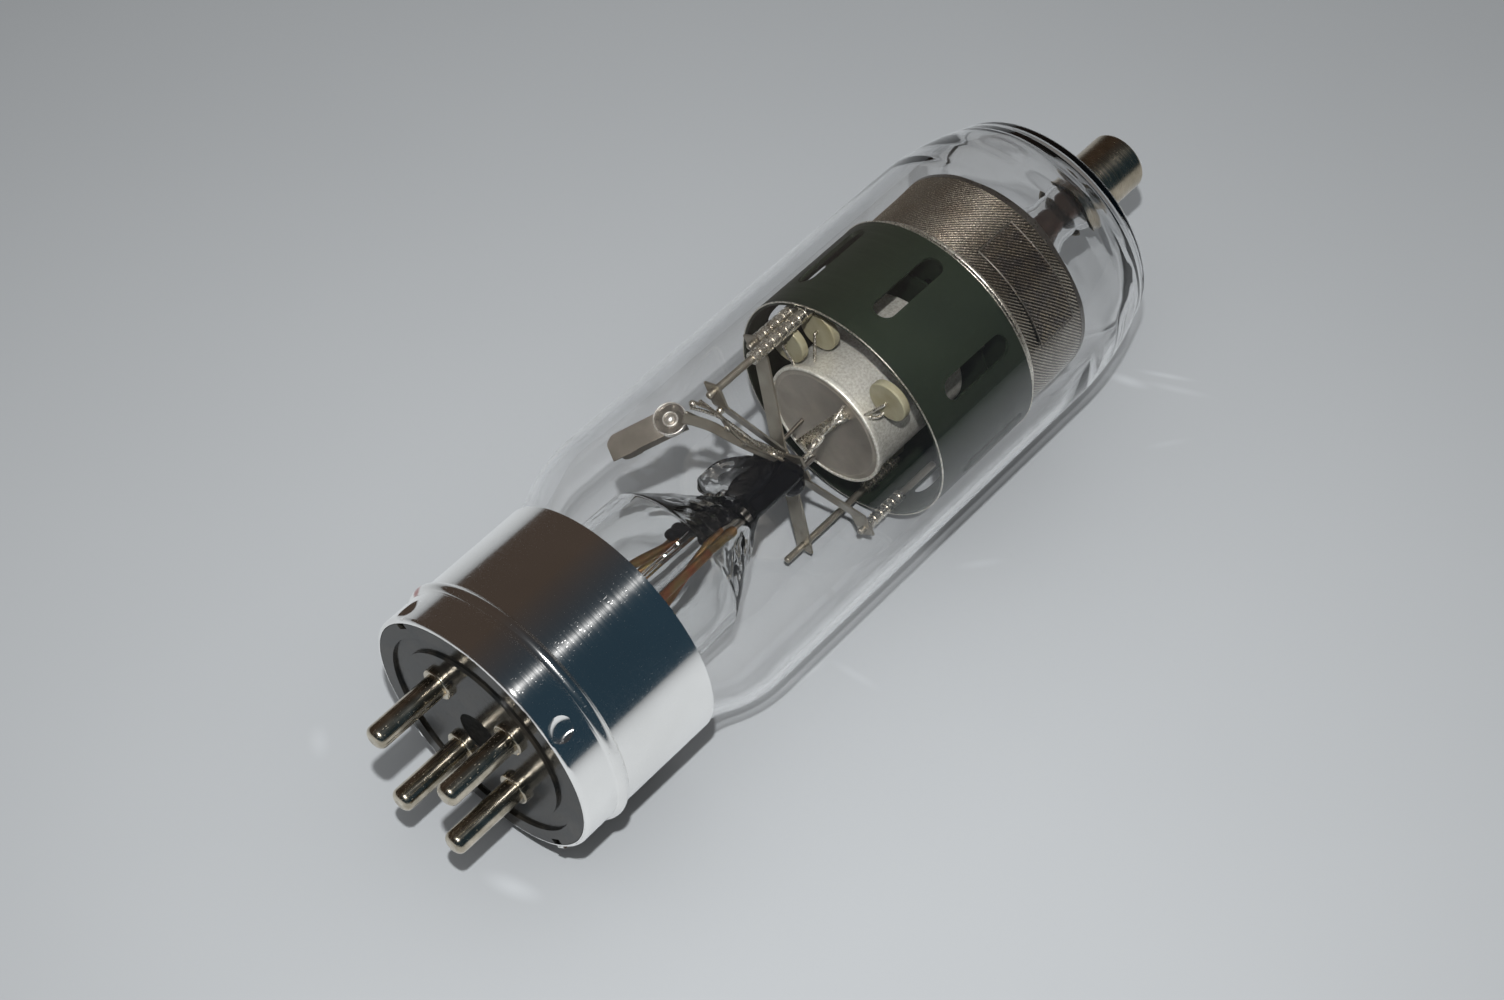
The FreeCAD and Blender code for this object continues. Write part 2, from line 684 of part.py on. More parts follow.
def feed_wire(spot, end):
    """Wire from the top of a lead to the cathode."""
    start = polar(LEAD_TOP, spot, PINCH_ANGLE)
    knee = start + V(FEED_R, 0, 0)
    return joined([Part.makeCylinder(FEED_R, FEED_R, start, AXIS), ball(knee, FEED_R),
                   rod(knee, end, FEED_R)])


def heater_feed():
    tip = CAN_START + END_DISC_THICK / 2 - TERMINAL_RISE - TERMINAL_THICK / 2
    end = polar(tip, -TERMINAL_TIP + FEED_R, TERMINAL_ANGLE)
    wire = feed_wire(LEAD_SPOTS[2], end)
    return wire.cut(heater_terminal())


def cathode_feed():
    disc = CAN_START + END_DISC_THICK / 2
    end = polar(disc + FEED_R, LEAD_SPOTS[0] - 1, PINCH_ANGLE)
    return feed_wire(LEAD_SPOTS[0], end).cut(cathode_disc())


# Support frame

def rod_centre(degrees, x=0.0):
    return polar(x, GRID_R - GRID_WALL - ROD_SLEEVE_R - FIT, degrees)


def support_rod(degrees, low, high):
    body = Part.makeCylinder(ROD_R, high - low, rod_centre(degrees, low), AXIS)
    return body.makeFillet(ROD_R / 2, round_edges(body))


def rod_sleeve(degrees, low, high):
    """Sleeve crimped on a rod in even steps."""
    body = Part.makeCylinder(ROD_SLEEVE_R, high - low, rod_centre(degrees, low), AXIS)
    count = int((high - low - CRIMP_WIDTH) / CRIMP_PITCH)
    first = low + (high - low - (count - 1) * CRIMP_PITCH) / 2
    for i in range(count):
        at = rod_centre(degrees, first + i * CRIMP_PITCH - CRIMP_WIDTH / 2)
        band = Part.makeCylinder(ROD_SLEEVE_R, CRIMP_WIDTH, at, AXIS)
        body = body.cut(band.cut(Part.makeCylinder(ROD_SLEEVE_R - CRIMP_DEPTH, CRIMP_WIDTH, at, AXIS)))
    return body.cut(Part.makeCylinder(ROD_R + FIT / 2, high - low, rod_centre(degrees, low), AXIS))


def strap(index):
    """Flat strap folded twice: a tab on the hub, a slanted arm and a tab round its rod."""
    degrees = RODS[index][0]
    station = STRAP_STATIONS[index]
    reach = rod_centre(degrees).Length
    layer = index % 2
    base = PINCH_TOP + HUB_THICK + layer * STRAP_THICK
    t = STRAP_THICK
    line = [V(base, STRAP_INNER, 0), V(base, STRAP_BEND, 0), V(station, reach - STRAP_TAB, 0),
            V(station, reach + STRAP_OVERHANG, 0), V(station + t, reach + STRAP_OVERHANG, 0),
            V(station + t, reach - STRAP_TAB, 0), V(base + t, STRAP_BEND, 0), V(base + t, STRAP_INNER, 0),
            V(base, STRAP_INNER, 0)]
    body = Part.Face(Part.makePolygon(line)).extrude(V(0, 0, STRAP_WIDTH))
    body.translate(V(0, 0, -STRAP_WIDTH / 2))
    body = body.rotated(V(0, 0, 0), AXIS, degrees)
    hole = Part.makeCylinder(ROD_R + FIT / 2, 4 * t, rod_centre(degrees, station - 1.5 * t), AXIS)
    body = body.cut(hole)
    for spot in LEAD_SPOTS:
        body = body.cut(lead_window(spot))
    return body


def lead_window(spot):
    """Room that hub and straps leave round a lead."""
    start = polar(PINCH_TOP - 1, spot, PINCH_ANGLE)
    return Part.makeCylinder(LEAD_R + HUB_LEAD_GAP, LEAD_TOP - PINCH_TOP + 2, start, AXIS)


def support_hub():
    """Plate on the end of the pinch that carries the four straps."""
    body = Part.makeBox(HUB_THICK, 2 * HUB_HALF_WIDTH, 2 * HUB_HALF_DEPTH,
                        V(PINCH_TOP, -HUB_HALF_WIDTH, -HUB_HALF_DEPTH))
    body = body.rotated(V(0, 0, 0), AXIS, PINCH_ANGLE)
    for spot in LEAD_SPOTS:
        body = body.cut(lead_window(spot))
    return body


# Ceramic spacers

def disc_centre(degrees, x):
    return polar(x, RIM_R + DISC_R + LOOSE, degrees)


def ceramic_disc(degrees, x):
    body = Part.makeCylinder(DISC_R, DISC_THICK, disc_centre(degrees, x), AXIS)
    body = body.makeFillet(DISC_THICK / 6, round_edges(body))
    body = body.cut(Part.makeCylinder(TIE_R, DISC_THICK, disc_centre(degrees, x), AXIS))
    for angle, low, high, sleeve_low, sleeve_high in RODS:
        if x < high:
            notch = Part.makeCylinder(ROD_SLEEVE_R + FIT, DISC_THICK, rod_centre(angle, x), AXIS)
            body = body.cut(notch)
    return body


def tie_wire(degrees, x):
    """Wire through a ceramic disc, bent down to the side of the can."""
    centre = disc_centre(degrees, x)
    front = centre - V(TIE_R * 2, 0, 0)
    back = centre + V(DISC_THICK + TIE_TAIL, 0, 0)
    foot_x = max(x - 3.2, CAN_START + RIM_WIDTH / 2)
    foot_r = RIM_R if foot_x < CAN_START + RIM_WIDTH else CAN_R
    foot = polar(foot_x, foot_r + TIE_R, degrees)
    return joined([rod(front, back, TIE_R), ball(front, TIE_R), rod(front, foot, TIE_R), ball(foot, TIE_R),
                   ball(back, TIE_R * 1.6)])


# Getter

def frame_at(origin, normal, along):
    """Placement whose Z is the normal and whose X lies along a direction."""
    z = V(normal)
    z.normalize()
    x = along - z * along.dot(z)
    x.normalize()
    y = z.cross(x)
    turn = FreeCAD.Rotation(x, y, z, "ZXY")
    return FreeCAD.Placement(origin, turn)


def getter_ring():
    """Annular trough round a small hub."""
    low = V(0, 0, SHIELD_THICK / 2)
    inner = GETTER_R - GETTER_CHANNEL
    body = Part.makeCylinder(GETTER_R, GETTER_HEIGHT, low)
    trough_out = Part.makeCylinder(GETTER_R - GETTER_WALL, GETTER_HEIGHT, low + V(0, 0, GETTER_WALL))
    trough_in = Part.makeCylinder(inner, GETTER_HEIGHT, low + V(0, 0, GETTER_WALL))
    body = body.cut(trough_out.cut(trough_in))
    body = body.cut(Part.makeCylinder(inner - GETTER_WALL, GETTER_HEIGHT, low + V(0, 0, GETTER_WALL)))
    hub = Part.makeCylinder(inner - 3 * GETTER_WALL, GETTER_HEIGHT * 0.7, low)
    body = joined([body, hub])
    body.Placement = frame_at(GETTER_CENTRE, GETTER_NORMAL, SHIELD_REACH)
    return body


def getter_flag():
    """Shield behind the ring: a strip with one long edge turned down and a rounded end."""
    t = SHIELD_THICK
    half = SHIELD_WIDTH / 2
    face = Part.makeBox(SHIELD_LENGTH + SHIELD_BACK, SHIELD_WIDTH, t, V(-SHIELD_BACK, -half, -t / 2))
    corners = [e for e in face.Edges
               if abs(e.Vertexes[0].Z - e.Vertexes[-1].Z) > t / 2
               and e.Vertexes[0].X > SHIELD_LENGTH - 1 and e.Vertexes[0].Y < 0]
    face = face.makeFillet(SHIELD_CORNER, corners)
    flange = Part.makeBox(SHIELD_LENGTH + SHIELD_BACK - SHIELD_CORNER, t, SHIELD_FLANGE,
                          V(-SHIELD_BACK, half - t, -SHIELD_FLANGE + t / 2))
    end = [e for e in flange.Edges
           if abs(e.Vertexes[0].Y - e.Vertexes[-1].Y) > t / 2
           and e.Vertexes[0].X > 0 and e.Vertexes[0].Z < -t]
    flange = flange.makeFillet(SHIELD_CORNER, end)
    body = joined([face, flange])
    body.Placement = frame_at(GETTER_CENTRE, GETTER_NORMAL, SHIELD_REACH)
    return body


def getter_wire():
    """Wire from the back of the shield to the hub."""
    place = frame_at(GETTER_CENTRE, GETTER_NORMAL, SHIELD_REACH)
    lift = SHIELD_THICK / 2 + GETTER_WIRE_R
    start = place.multVec(V(0, 0, -lift))
    knee = place.multVec(V(-SHIELD_BACK - 1, 0, -lift))
    hub_side = (polar(PINCH_TOP + HUB_THICK / 2, -GETTER_WIRE_SPOT, PINCH_ANGLE)
                + radial(PINCH_ANGLE - 90) * (HUB_HALF_DEPTH + GETTER_WIRE_R))
    return joined([ball(start, GETTER_WIRE_R), rod(start, knee, GETTER_WIRE_R), ball(knee, GETTER_WIRE_R),
                   rod(knee, hub_side, GETTER_WIRE_R), ball(hub_side, GETTER_WIRE_R)])


def main():
    os.makedirs("parts", exist_ok=True)
    save("base_shell", base_shell())
    save("base_insert", base_insert())
    for i, (y, z) in enumerate(pin_places()):
        save("pin_%d" % (i + 1), base_pin(y, z))
    save("base_cement", base_cement())
    save("bulb", bulb())
    save("stem", stem())
    save("exhaust_tube", exhaust_tube())
    for i, spot in enumerate(LEAD_SPOTS):
        save("stem_lead_%d" % (i + 1), stem_lead(spot))
        save("base_braid_%d" % (i + 1), base_braid(spot, LEAD_TO_PIN[i]))
    save("top_cap", top_cap())
    save("anode_lead", anode_lead())
    save("anode_seal", anode_seal())
    save("anode_cup", anode_cup())
    save("anode_top", anode_top())
    save("anode_gauze", anode_gauze())
    save("gauze_patch", gauze_patch())
    save("anode_ring", anode_ring())
    save("grid_cylinder", grid_cylinder())
    save("grid_plate", grid_plate())
    save("grid_baffle", grid_baffle())
    save("cathode_can", cathode_can())
    save("cathode_disc", cathode_disc())
    save("cathode_core", cathode_core())
    save("heater", heater())
    save("heater_terminal", heater_terminal())
    save("heater_feed", heater_feed())
    save("cathode_feed", cathode_feed())
    save("support_hub", support_hub())
    for i, (degrees, low, high, sleeve_low, sleeve_high) in enumerate(RODS):
        save("support_rod_%d" % (i + 1), support_rod(degrees, low, high))
        save("rod_sleeve_%d" % (i + 1), rod_sleeve(degrees, sleeve_low, sleeve_high))
        save("support_strap_%d" % (i + 1), strap(i))
    for i, (degrees, x) in enumerate(DISCS):
        save("ceramic_disc_%d" % (i + 1), ceramic_disc(degrees, x))
    save("tie_wires", Part.makeCompound([tie_wire(degrees, x) for degrees, x in DISCS]))
    save("getter_ring", getter_ring())
    save("getter_flag", getter_flag())
    save("getter_wire", getter_wire())


main()
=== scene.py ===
"""Looks of the thyratron tube: finishes, blown glass, woven gauze and small metal detail.

Lengths in the classes are millimetres along and across the tube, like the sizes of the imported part, with
station zero at the mouth of the base shell. Blender's own units are metres.
"""
import logging
import math
from dataclasses import dataclass
from enum import Enum
from typing import ClassVar

import bpy
from mathutils import Matrix, Vector


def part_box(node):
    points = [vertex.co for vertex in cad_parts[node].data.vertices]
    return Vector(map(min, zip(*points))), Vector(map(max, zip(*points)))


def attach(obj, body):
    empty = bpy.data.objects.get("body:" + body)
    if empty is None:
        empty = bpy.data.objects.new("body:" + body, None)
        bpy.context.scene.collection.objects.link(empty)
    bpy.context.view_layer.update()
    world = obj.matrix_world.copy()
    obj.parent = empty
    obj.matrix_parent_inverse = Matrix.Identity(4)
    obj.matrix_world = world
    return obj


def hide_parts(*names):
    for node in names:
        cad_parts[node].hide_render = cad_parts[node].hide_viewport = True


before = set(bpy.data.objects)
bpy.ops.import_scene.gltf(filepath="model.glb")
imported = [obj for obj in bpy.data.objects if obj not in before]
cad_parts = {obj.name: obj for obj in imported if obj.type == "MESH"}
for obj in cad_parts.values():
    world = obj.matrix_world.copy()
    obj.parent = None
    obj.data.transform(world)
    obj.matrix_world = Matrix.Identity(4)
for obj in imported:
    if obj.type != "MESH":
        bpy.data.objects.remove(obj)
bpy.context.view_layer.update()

LOG = logging.getLogger("tube")
MM = 0.001
BULB_LOW, BULB_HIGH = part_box("bulb")
MOUTH_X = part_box("base_shell")[1].x
AXIS_Z = (BULB_LOW.z + BULB_HIGH.z) / 2
WELD = 4e-6
HAIRLINE = 0.5e-3

Pair = tuple[float, float]
Triple = tuple[float, float, float]
Four = tuple[float, float, float, float]
Outline = list[Pair]
Piece = bpy.types.Object
Socket = bpy.types.NodeSocket
Feeds = dict[str | int, object]


def spot(station: float, y: float = 0.0, z: float = 0.0) -> Vector:
    """A point of the tube in metres, from its station and its place across the axis in millimetres."""
    return Vector((MOUTH_X + station * MM, y * MM, AXIS_Z + z * MM))


def share(value: float, run: float) -> float:
    """How much of a run a value has covered, from 0 to 1."""
    return min(max(value / run, 0.0), 1.0)


def smooth(t: float) -> float:
    """A share that starts and ends gently."""
    return t * t * (3 - 2 * t)


class Lay(Enum):
    """How the fine lines of a metal surface run."""

    EVEN = (1.0, 1.0, 1.0)
    ROUND = (1.0, 0.03, 0.03)
    ALONG = (0.03, 1.0, 1.0)


class Wiring:
    """A node tree, with short ways to add nodes to it and to join them."""

    def __init__(self, owner: bpy.types.Material | bpy.types.World) -> None:
        """Starts on a tree, with the node that reads the piece's own coordinates.

        Args:
            owner: the material or world that the tree is of.
        """
        owner.use_nodes = True
        self.tree, self.nodes = owner.node_tree, owner.node_tree.nodes
        self.place = self.add("TexCoord").outputs["Object"]

    def add(self, kind: str, feeds: Feeds | None = None, **traits: object) -> bpy.types.Node:
        """Adds a node.

        Args:
            kind: end of the name of its type.
            feeds: for each input, its value or the socket that is joined to it.
            traits: the node's own settings.

        Returns:
            The node.
        """
        node = self.nodes.new("ShaderNode" + kind)
        for name, value in traits.items():
            setattr(node, name, value)
        self.feed(node, feeds or {})
        return node

    def feed(self, node: bpy.types.Node, feeds: Feeds) -> None:
        """Sets the inputs of a node, or joins them.

        Args:
            node: the node.
            feeds: for each input, its value or the socket that is joined to it.
        """
        for name, value in feeds.items():
            if isinstance(value, Socket):
                self.tree.links.new(value, node.inputs[name])
            else:
                node.inputs[name].default_value = value

    def spread(self, value: Socket, start: Pair, end: Pair = (0.0, 1.0), curve: str = "LINEAR") -> Socket:
        """The value with its range, start, mapped onto another, end."""
        ranges = {"From Min": start[0], "From Max": start[1], "To Min": end[0], "To Max": end[1]}
        return self.add("MapRange", {"Value": value, **ranges}, interpolation_type=curve).outputs["Result"]

    def blend(self, amount: Socket, first: object, second: object) -> Socket:
        """Two colours or sockets mixed, by the amount of the second."""
        ends = [end if isinstance(end, Socket) else (*end, 1.0) for end in (first, second)]
        feeds = {"Factor": amount, "A": ends[0], "B": ends[1]}
        return self.add("Mix", feeds, data_type="RGBA").outputs["Result"]

    def count(self, operation: str, first: Socket, second: object, clamp: bool = False) -> Socket:
        """One number worked out from two, and kept between 0 and 1 if it is clamped."""
        return self.add("Math", {0: first, 1: second}, operation=operation, use_clamp=clamp).outputs["Value"]

    def noise(self, scale: float, stretch: Triple, octaves: float) -> Socket:
        """Noise of a scale per metre on the piece's own coordinates, with them stretched first."""
        mapped = self.add("Mapping", {"Vector": self.place, "Scale": stretch}).outputs["Vector"]
        return self.add("TexNoise", {"Vector": mapped, "Scale": scale, "Detail": octaves}).outputs["Fac"]

    def away(self, point: Vector | Triple) -> Socket:
        """Distance of the surface from a point, in metres."""
        return self.add("VectorMath", {0: self.place, 1: point}, operation="DISTANCE").outputs["Value"]

    def length(self, value: Socket) -> Socket:
        """Length of a vector."""
        return self.add("VectorMath", {0: value}, operation="LENGTH").outputs["Value"]

    def bump(self, height: Socket, strength: float, relief: float) -> Socket:
        """The normal of a surface with relief, from its height and the relief's full depth in metres."""
        feeds = {"Height": height, "Strength": strength, "Distance": relief}
        return self.add("Bump", feeds).outputs["Normal"]


@dataclass(frozen=True)
class Finish:
    """An opaque finish: colour with mottling, sheen, and fine lines or grain in its surface, and painted
    shade between the wires of a weave.
    """

    name: str
    colour: Triple
    second: Triple
    metal: float = 1.0
    rough: Pair = (0.3, 0.4)
    mottle: float = 120.0
    grain: float = 2500.0
    depth: float = 0.1
    lay: Lay = Lay.EVEN
    anisotropy: float = 0.0
    sheen: float = 0.5
    specks: float = 0.0
    # radii over which painted shade between a weave's wires fades out
    hollow: Pair | None = None
    mark: Four | None = None
    RELIEF: ClassVar[float] = 0.05 * MM
    MOTTLE_RANGE: ClassVar[Pair] = (0.35, 0.65)
    GRAIN_RANGE: ClassVar[Pair] = (0.3, 0.7)
    SPECK_SCALE: ClassVar[float] = 3200.0
    SPECK_STRETCH: ClassVar[Triple] = (0.5, 1.0, 1.0)
    SPECK_RANGE: ClassVar[Pair] = (0.69, 0.74)
    # colour of the painted shade between a weave's wires
    PAINTED_SHADE: ClassVar[Triple] = (0.03, 0.022, 0.015)
    RED: ClassVar[Triple] = (0.3, 0.025, 0.015)
    RED_CORE: ClassVar[float] = 0.55
    RED_COVER: ClassVar[float] = 0.85
    QUARTER_TURN: ClassVar[float] = 0.25

    def material(self) -> bpy.types.Material:
        """The node material of this finish, made once."""
        made = bpy.data.materials.get(self.name)
        if made is not None:
            return made
        made = bpy.data.materials.new(self.name)
        wiring = Wiring(made)
        shader = wiring.nodes["Principled BSDF"]
        cloud = wiring.noise(self.mottle, Lay.EVEN.value, 4.0)
        lines = wiring.noise(self.grain, self.lay.value, 3.0)
        colour = wiring.blend(wiring.spread(cloud, self.MOTTLE_RANGE), self.colour, self.second)
        if self.hollow is not None:
            # painted shade deep between the wires of a weave
            colour = self.paint_hollow_shade(wiring, colour)
        if self.mark is not None:
            colour = self.red_mark(wiring, colour)
        rough = wiring.spread(lines, self.GRAIN_RANGE, self.rough)
        if self.specks > 0:
            dust = wiring.noise(self.SPECK_SCALE, self.SPECK_STRETCH, 1.0)
            rough = wiring.count("ADD", rough, wiring.spread(dust, self.SPECK_RANGE, (0.0, self.specks)))
        wiring.feed(shader, {"Base Color": colour, "Metallic": self.metal, "Roughness": rough,
                             "Anisotropic": self.anisotropy, "Specular IOR Level": self.sheen,
                             "Normal": wiring.bump(lines, self.depth, self.RELIEF)})
        if self.anisotropy > 0:
            tangent = wiring.add("Tangent", direction_type="RADIAL", axis="X").outputs["Tangent"]
            wiring.feed(shader, {"Tangent": tangent, "Anisotropic Rotation": self.QUARTER_TURN})
        return made

    def paint_hollow_shade(self, wiring: Wiring, colour: Socket) -> Socket:
        """Paints shade on what lies deep between the wires of a weave, by its distance from the tube's axis.

        Args:
            wiring: wiring of the material.
            colour: colour of the wires.

        Returns:
            The colour with the painted shade.
        """
        deep, high = self.hollow
        across = wiring.add("Mapping", {"Vector": wiring.place, "Location": (0.0, 0.0, -AXIS_Z),
                                        "Scale": (0.0, 1.0, 1.0)}).outputs["Vector"]
        lit = wiring.spread(wiring.length(across), (deep * MM, high * MM))
        return wiring.blend(lit, self.PAINTED_SHADE, colour)

    def red_mark(self, wiring: Wiring, colour: Socket) -> Socket:
        """Lays one small smear of red over the colour.

        Args:
            wiring: wiring of the material.
            colour: colour without the smear.

        Returns:
            The colour with it.
        """
        station, y, z, size = self.mark
        cover = wiring.spread(wiring.away(spot(station, y, z)), (self.RED_CORE * size * MM, size * MM),
                              (self.RED_COVER, 0.0))
        return wiring.blend(cover, colour, self.RED)


@dataclass(frozen=True)
class Glass:
    """Clear blown glass. Rays from the lamps pass straight through, weaker where they graze it."""

    name: str
    colour: Triple = (1.0, 1.0, 1.0)
    ior: float = 1.5
    wave: float = 40.0
    wave_depth: float = 0.02
    dark_stretch: Pair | None = None
    RELIEF: ClassVar[float] = 1.0 * MM
    WAVE_STRETCH: ClassVar[Triple] = (0.4, 1.0, 1.0)
    EDGE_BLEND: ClassVar[float] = 0.35
    EDGE_TINT: ClassVar[float] = 0.4
    DARK_CURVE: ClassVar[tuple[Pair, ...]] = ((0.06, 1.0), (0.12, 0.0), (0.82, 0.0), (0.97, 0.9))

    def material(self) -> bpy.types.Material:
        """The node material of this glass, made once."""
        made = bpy.data.materials.get(self.name)
        if made is not None:
            return made
        made = bpy.data.materials.new(self.name)
        wiring = Wiring(made)
        shader = wiring.nodes["Principled BSDF"]
        waves = wiring.noise(self.wave, self.WAVE_STRETCH, 2.0)
        wiring.feed(shader, {"Base Color": (*self.colour, 1.0), "Transmission Weight": 1.0, "Roughness": 0.0,
                             "IOR": self.ior, "Normal": wiring.bump(waves, self.wave_depth, self.RELIEF)})
        edge = wiring.add("LayerWeight", {"Blend": self.EDGE_BLEND}).outputs["Facing"]
        shade = (self.EDGE_TINT,) * 3 if self.dark_stretch is None else self.dark_edge(wiring)
        tint = wiring.blend(wiring.count("POWER", edge, 2.0), (1.0, 1.0, 1.0), shade)
        clear = wiring.add("BsdfTransparent", {"Color": tint}).outputs["BSDF"]
        mix = wiring.add("MixShader", {"Fac": wiring.add("LightPath").outputs["Is Shadow Ray"],
                                       1: shader.outputs["BSDF"], 2: clear})
        wiring.feed(wiring.nodes["Material Output"], {"Surface": mix.outputs["Shader"]})
        return made

    def dark_edge(self, wiring: Wiring) -> Socket:
        """Shade of the edge, deeper along a stretch where the electrodes stand in the light.

        Args:
            wiring: wiring of the material.

        Returns:
            The shade.
        """
        parts = wiring.add("SeparateXYZ", {"Vector": wiring.place})
        reach = tuple(spot(station).x for station in self.dark_stretch)
        curve = wiring.add("FloatCurve", {"Value": wiring.spread(parts.outputs["X"], reach)})
        points = curve.mapping.curves[0].points
        points[0].location = (0.0, 1.0)
        points[1].location = (1.0, 1.0)
        for at, value in self.DARK_CURVE:
            points.new(at, value)
        curve.mapping.update()
        return wiring.spread(curve.outputs["Value"], (0.0, 1.0), (0.0, self.EDGE_TINT))


SHELL = Finish("shell nickel", (0.9, 0.89, 0.87), (0.84, 0.83, 0.81), rough=(0.11, 0.155), mottle=60,
               grain=2600, depth=0.015, lay=Lay.ROUND, anisotropy=1.0, specks=0.15,
               mark=(-26.4, 24.6, 15.3, 2.4))
BEAD = Finish("bead nickel", (0.88, 0.87, 0.85), (0.8, 0.79, 0.77), rough=(0.08, 0.2), mottle=60, grain=2600,
              depth=0.02, lay=Lay.ROUND, specks=0.2, mark=(-26.4, 24.6, 15.3, 2.6))
INSERT = Finish("insert moulding", (0.014, 0.015, 0.015), (0.036, 0.032, 0.026), metal=0.0, rough=(0.1, 0.24),
                mottle=220, grain=900, depth=0.08, sheen=0.15)
# painted shade: near-black finish of the disc in the insert's centre hole
HOLE_SHADE = Finish("bore", (0.004, 0.004, 0.004), (0.008, 0.008, 0.007), metal=0.0, rough=(0.6, 0.8), mottle=300,
              grain=900, depth=0.2, sheen=0.08)
PIN = Finish("pin nickel", (0.6, 0.54, 0.44), (0.34, 0.3, 0.23), rough=(0.14, 0.3), mottle=350, grain=2200,
             depth=0.08, lay=Lay.ALONG, specks=0.4)
CEMENT = Finish("basing cement", (0.52, 0.46, 0.36), (0.4, 0.35, 0.27), metal=0.0, rough=(0.8, 0.9),
                mottle=600, grain=1500, depth=0.5)
WIRE = Finish("drawn wire", (0.34, 0.32, 0.29), (0.2, 0.18, 0.16), rough=(0.25, 0.4), mottle=500,
              lay=Lay.ALONG)
COPPER = Finish("oxidised copper", (0.23, 0.07, 0.035), (0.2, 0.15, 0.06), mottle=180, grain=1800, depth=0.4,
                rough=(0.3, 0.5))
CAP = Finish("cap nickel", (0.5, 0.43, 0.33), (0.36, 0.31, 0.23), rough=(0.22, 0.32), mottle=250, grain=2600,
             depth=0.03, lay=Lay.ROUND, anisotropy=0.8, specks=0.2)
ANODE = Finish("dark nickel", (0.2, 0.185, 0.165), (0.15, 0.135, 0.12), rough=(0.25, 0.4), mottle=150,
               grain=2400)
# hollow: painted shade deep between the gauze's wires
WEAVE = Finish("woven gauze", (0.72, 0.66, 0.55), (0.56, 0.48, 0.38), rough=(0.16, 0.3), mottle=180,
               grain=4000, hollow=(26.14, 26.3))
LAP = Finish("gauze lap", (0.66, 0.56, 0.42), (0.4, 0.36, 0.34), rough=(0.16, 0.3), mottle=500, grain=4000,
             hollow=(26.83, 26.97))
GREEN = Finish("green-black sheet", (0.011, 0.017, 0.009), (0.008, 0.013, 0.007), metal=0.0, rough=(0.5, 0.6),
               mottle=70, grain=1600, depth=0.04, lay=Lay.ROUND, sheen=0.25)
BLASTED = Finish("blasted nickel", (0.98, 0.96, 0.88), (0.72, 0.69, 0.6), metal=0.6, rough=(0.42, 0.6),
                 mottle=1700, grain=2200, depth=1.0)
DISC = Finish("grey sheet", (0.5, 0.455, 0.39), (0.38, 0.345, 0.29), metal=0.7, rough=(0.4, 0.5), mottle=140,
              grain=2400, depth=0.08)
HEATER = Finish("coated heater", (0.5, 0.49, 0.46), (0.4, 0.39, 0.37), metal=0.0, rough=(0.7, 0.8),
                mottle=800, depth=0.3)
NICKEL = Finish("warm nickel", (0.4, 0.37, 0.31), (0.3, 0.27, 0.22), metal=0.85, mottle=160, lay=Lay.ALONG,
                rough=(0.3, 0.42))
FLAG = Finish("getter shield", (0.3, 0.27, 0.23), (0.2, 0.18, 0.15), metal=0.8, mottle=160, rough=(0.3, 0.45))
GETTER = Finish("getter rim", (0.96, 0.94, 0.9), (0.7, 0.67, 0.62), rough=(0.26, 0.4), mottle=700, depth=0.2)
BRIGHT = Finish("bright nickel", (0.86, 0.82, 0.73), (0.55, 0.51, 0.44), rough=(0.2, 0.36), mottle=400)
CERAMIC = Finish("cream ceramic", (0.5, 0.47, 0.32), (0.4, 0.35, 0.21), metal=0.0, rough=(0.45, 0.6),
                 mottle=260, grain=1800, depth=0.15)
FUSED = Finish("fused dark glass", (0.001, 0.001, 0.002), (0.004, 0.004, 0.006), metal=0.0, rough=(0.04, 0.1),
               mottle=260, grain=420, depth=0.4, sheen=0.25)
LEAD = Finish("lead rod", (0.14, 0.11, 0.095), (0.1, 0.04, 0.025), rough=(0.08, 0.2), mottle=220, grain=1200,
              depth=0.15)
PALE = Finish("pale floor", (0.56, 0.585, 0.605), (0.55, 0.575, 0.595), metal=0.0, rough=(0.6, 0.7), mottle=9,
              grain=700, depth=0.05)
BULB_GLASS = Glass("blown glass", dark_stretch=(62.0, 128.0))
CLEAR_GLASS = Glass("clear glass")
FOLD_GLASS = Glass("folded glass", colour=(0.9, 0.9, 0.9), ior=1.22, wave=260.0, wave_depth=0.7)
STEM_GLASS = Glass("pressed glass", colour=(0.98, 0.985, 0.985), ior=1.28, wave=120.0, wave_depth=0.2)


def deselect() -> None:
    """Leaves edit mode and selects nothing."""
    if bpy.context.object is not None and bpy.context.object.mode != "OBJECT":
        bpy.ops.object.mode_set(mode="OBJECT")
    bpy.ops.object.select_all(action="DESELECT")


def activate(*pieces: Piece) -> None:
    """Selects these pieces alone, with the first of them active.

    Args:
        pieces: the pieces.
    """
    deselect()
    for piece in pieces:
        piece.select_set(True)
    bpy.context.view_layer.objects.active = pieces[0]


def pick_none(piece: Piece, kind: str) -> None:
    """Makes one piece active with nothing of its mesh selected.

    Args:
        piece: the piece.
        kind: what is going to be selected, "VERT" or "FACE".
    """
    activate(piece)
    bpy.ops.object.mode_set(mode="EDIT")
    bpy.ops.mesh.select_mode(type=kind)
    bpy.ops.mesh.select_all(action="DESELECT")
    bpy.ops.object.mode_set(mode="OBJECT")


def clean_mesh() -> None:
    """Merges the doubles of the active piece and turns its faces outwards."""
    bpy.ops.object.mode_set(mode="EDIT")
    bpy.ops.mesh.select_all(action="SELECT")
    bpy.ops.mesh.remove_doubles(threshold=WELD)
    bpy.ops.mesh.normals_make_consistent(inside=False)
    bpy.ops.object.mode_set(mode="OBJECT")


def dress(piece: Piece, finish: Finish | Glass) -> Piece:
    """Gives a new piece its finish and its place on the part.

    Args:
        piece: the new piece, in place.
        finish: what its surface is.

    Returns:
        The piece.
    """
    if not piece.data.materials:
        piece.data.materials.append(finish.material())
    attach(piece, "root")
    LOG.info("made %s", piece.name)
    return piece


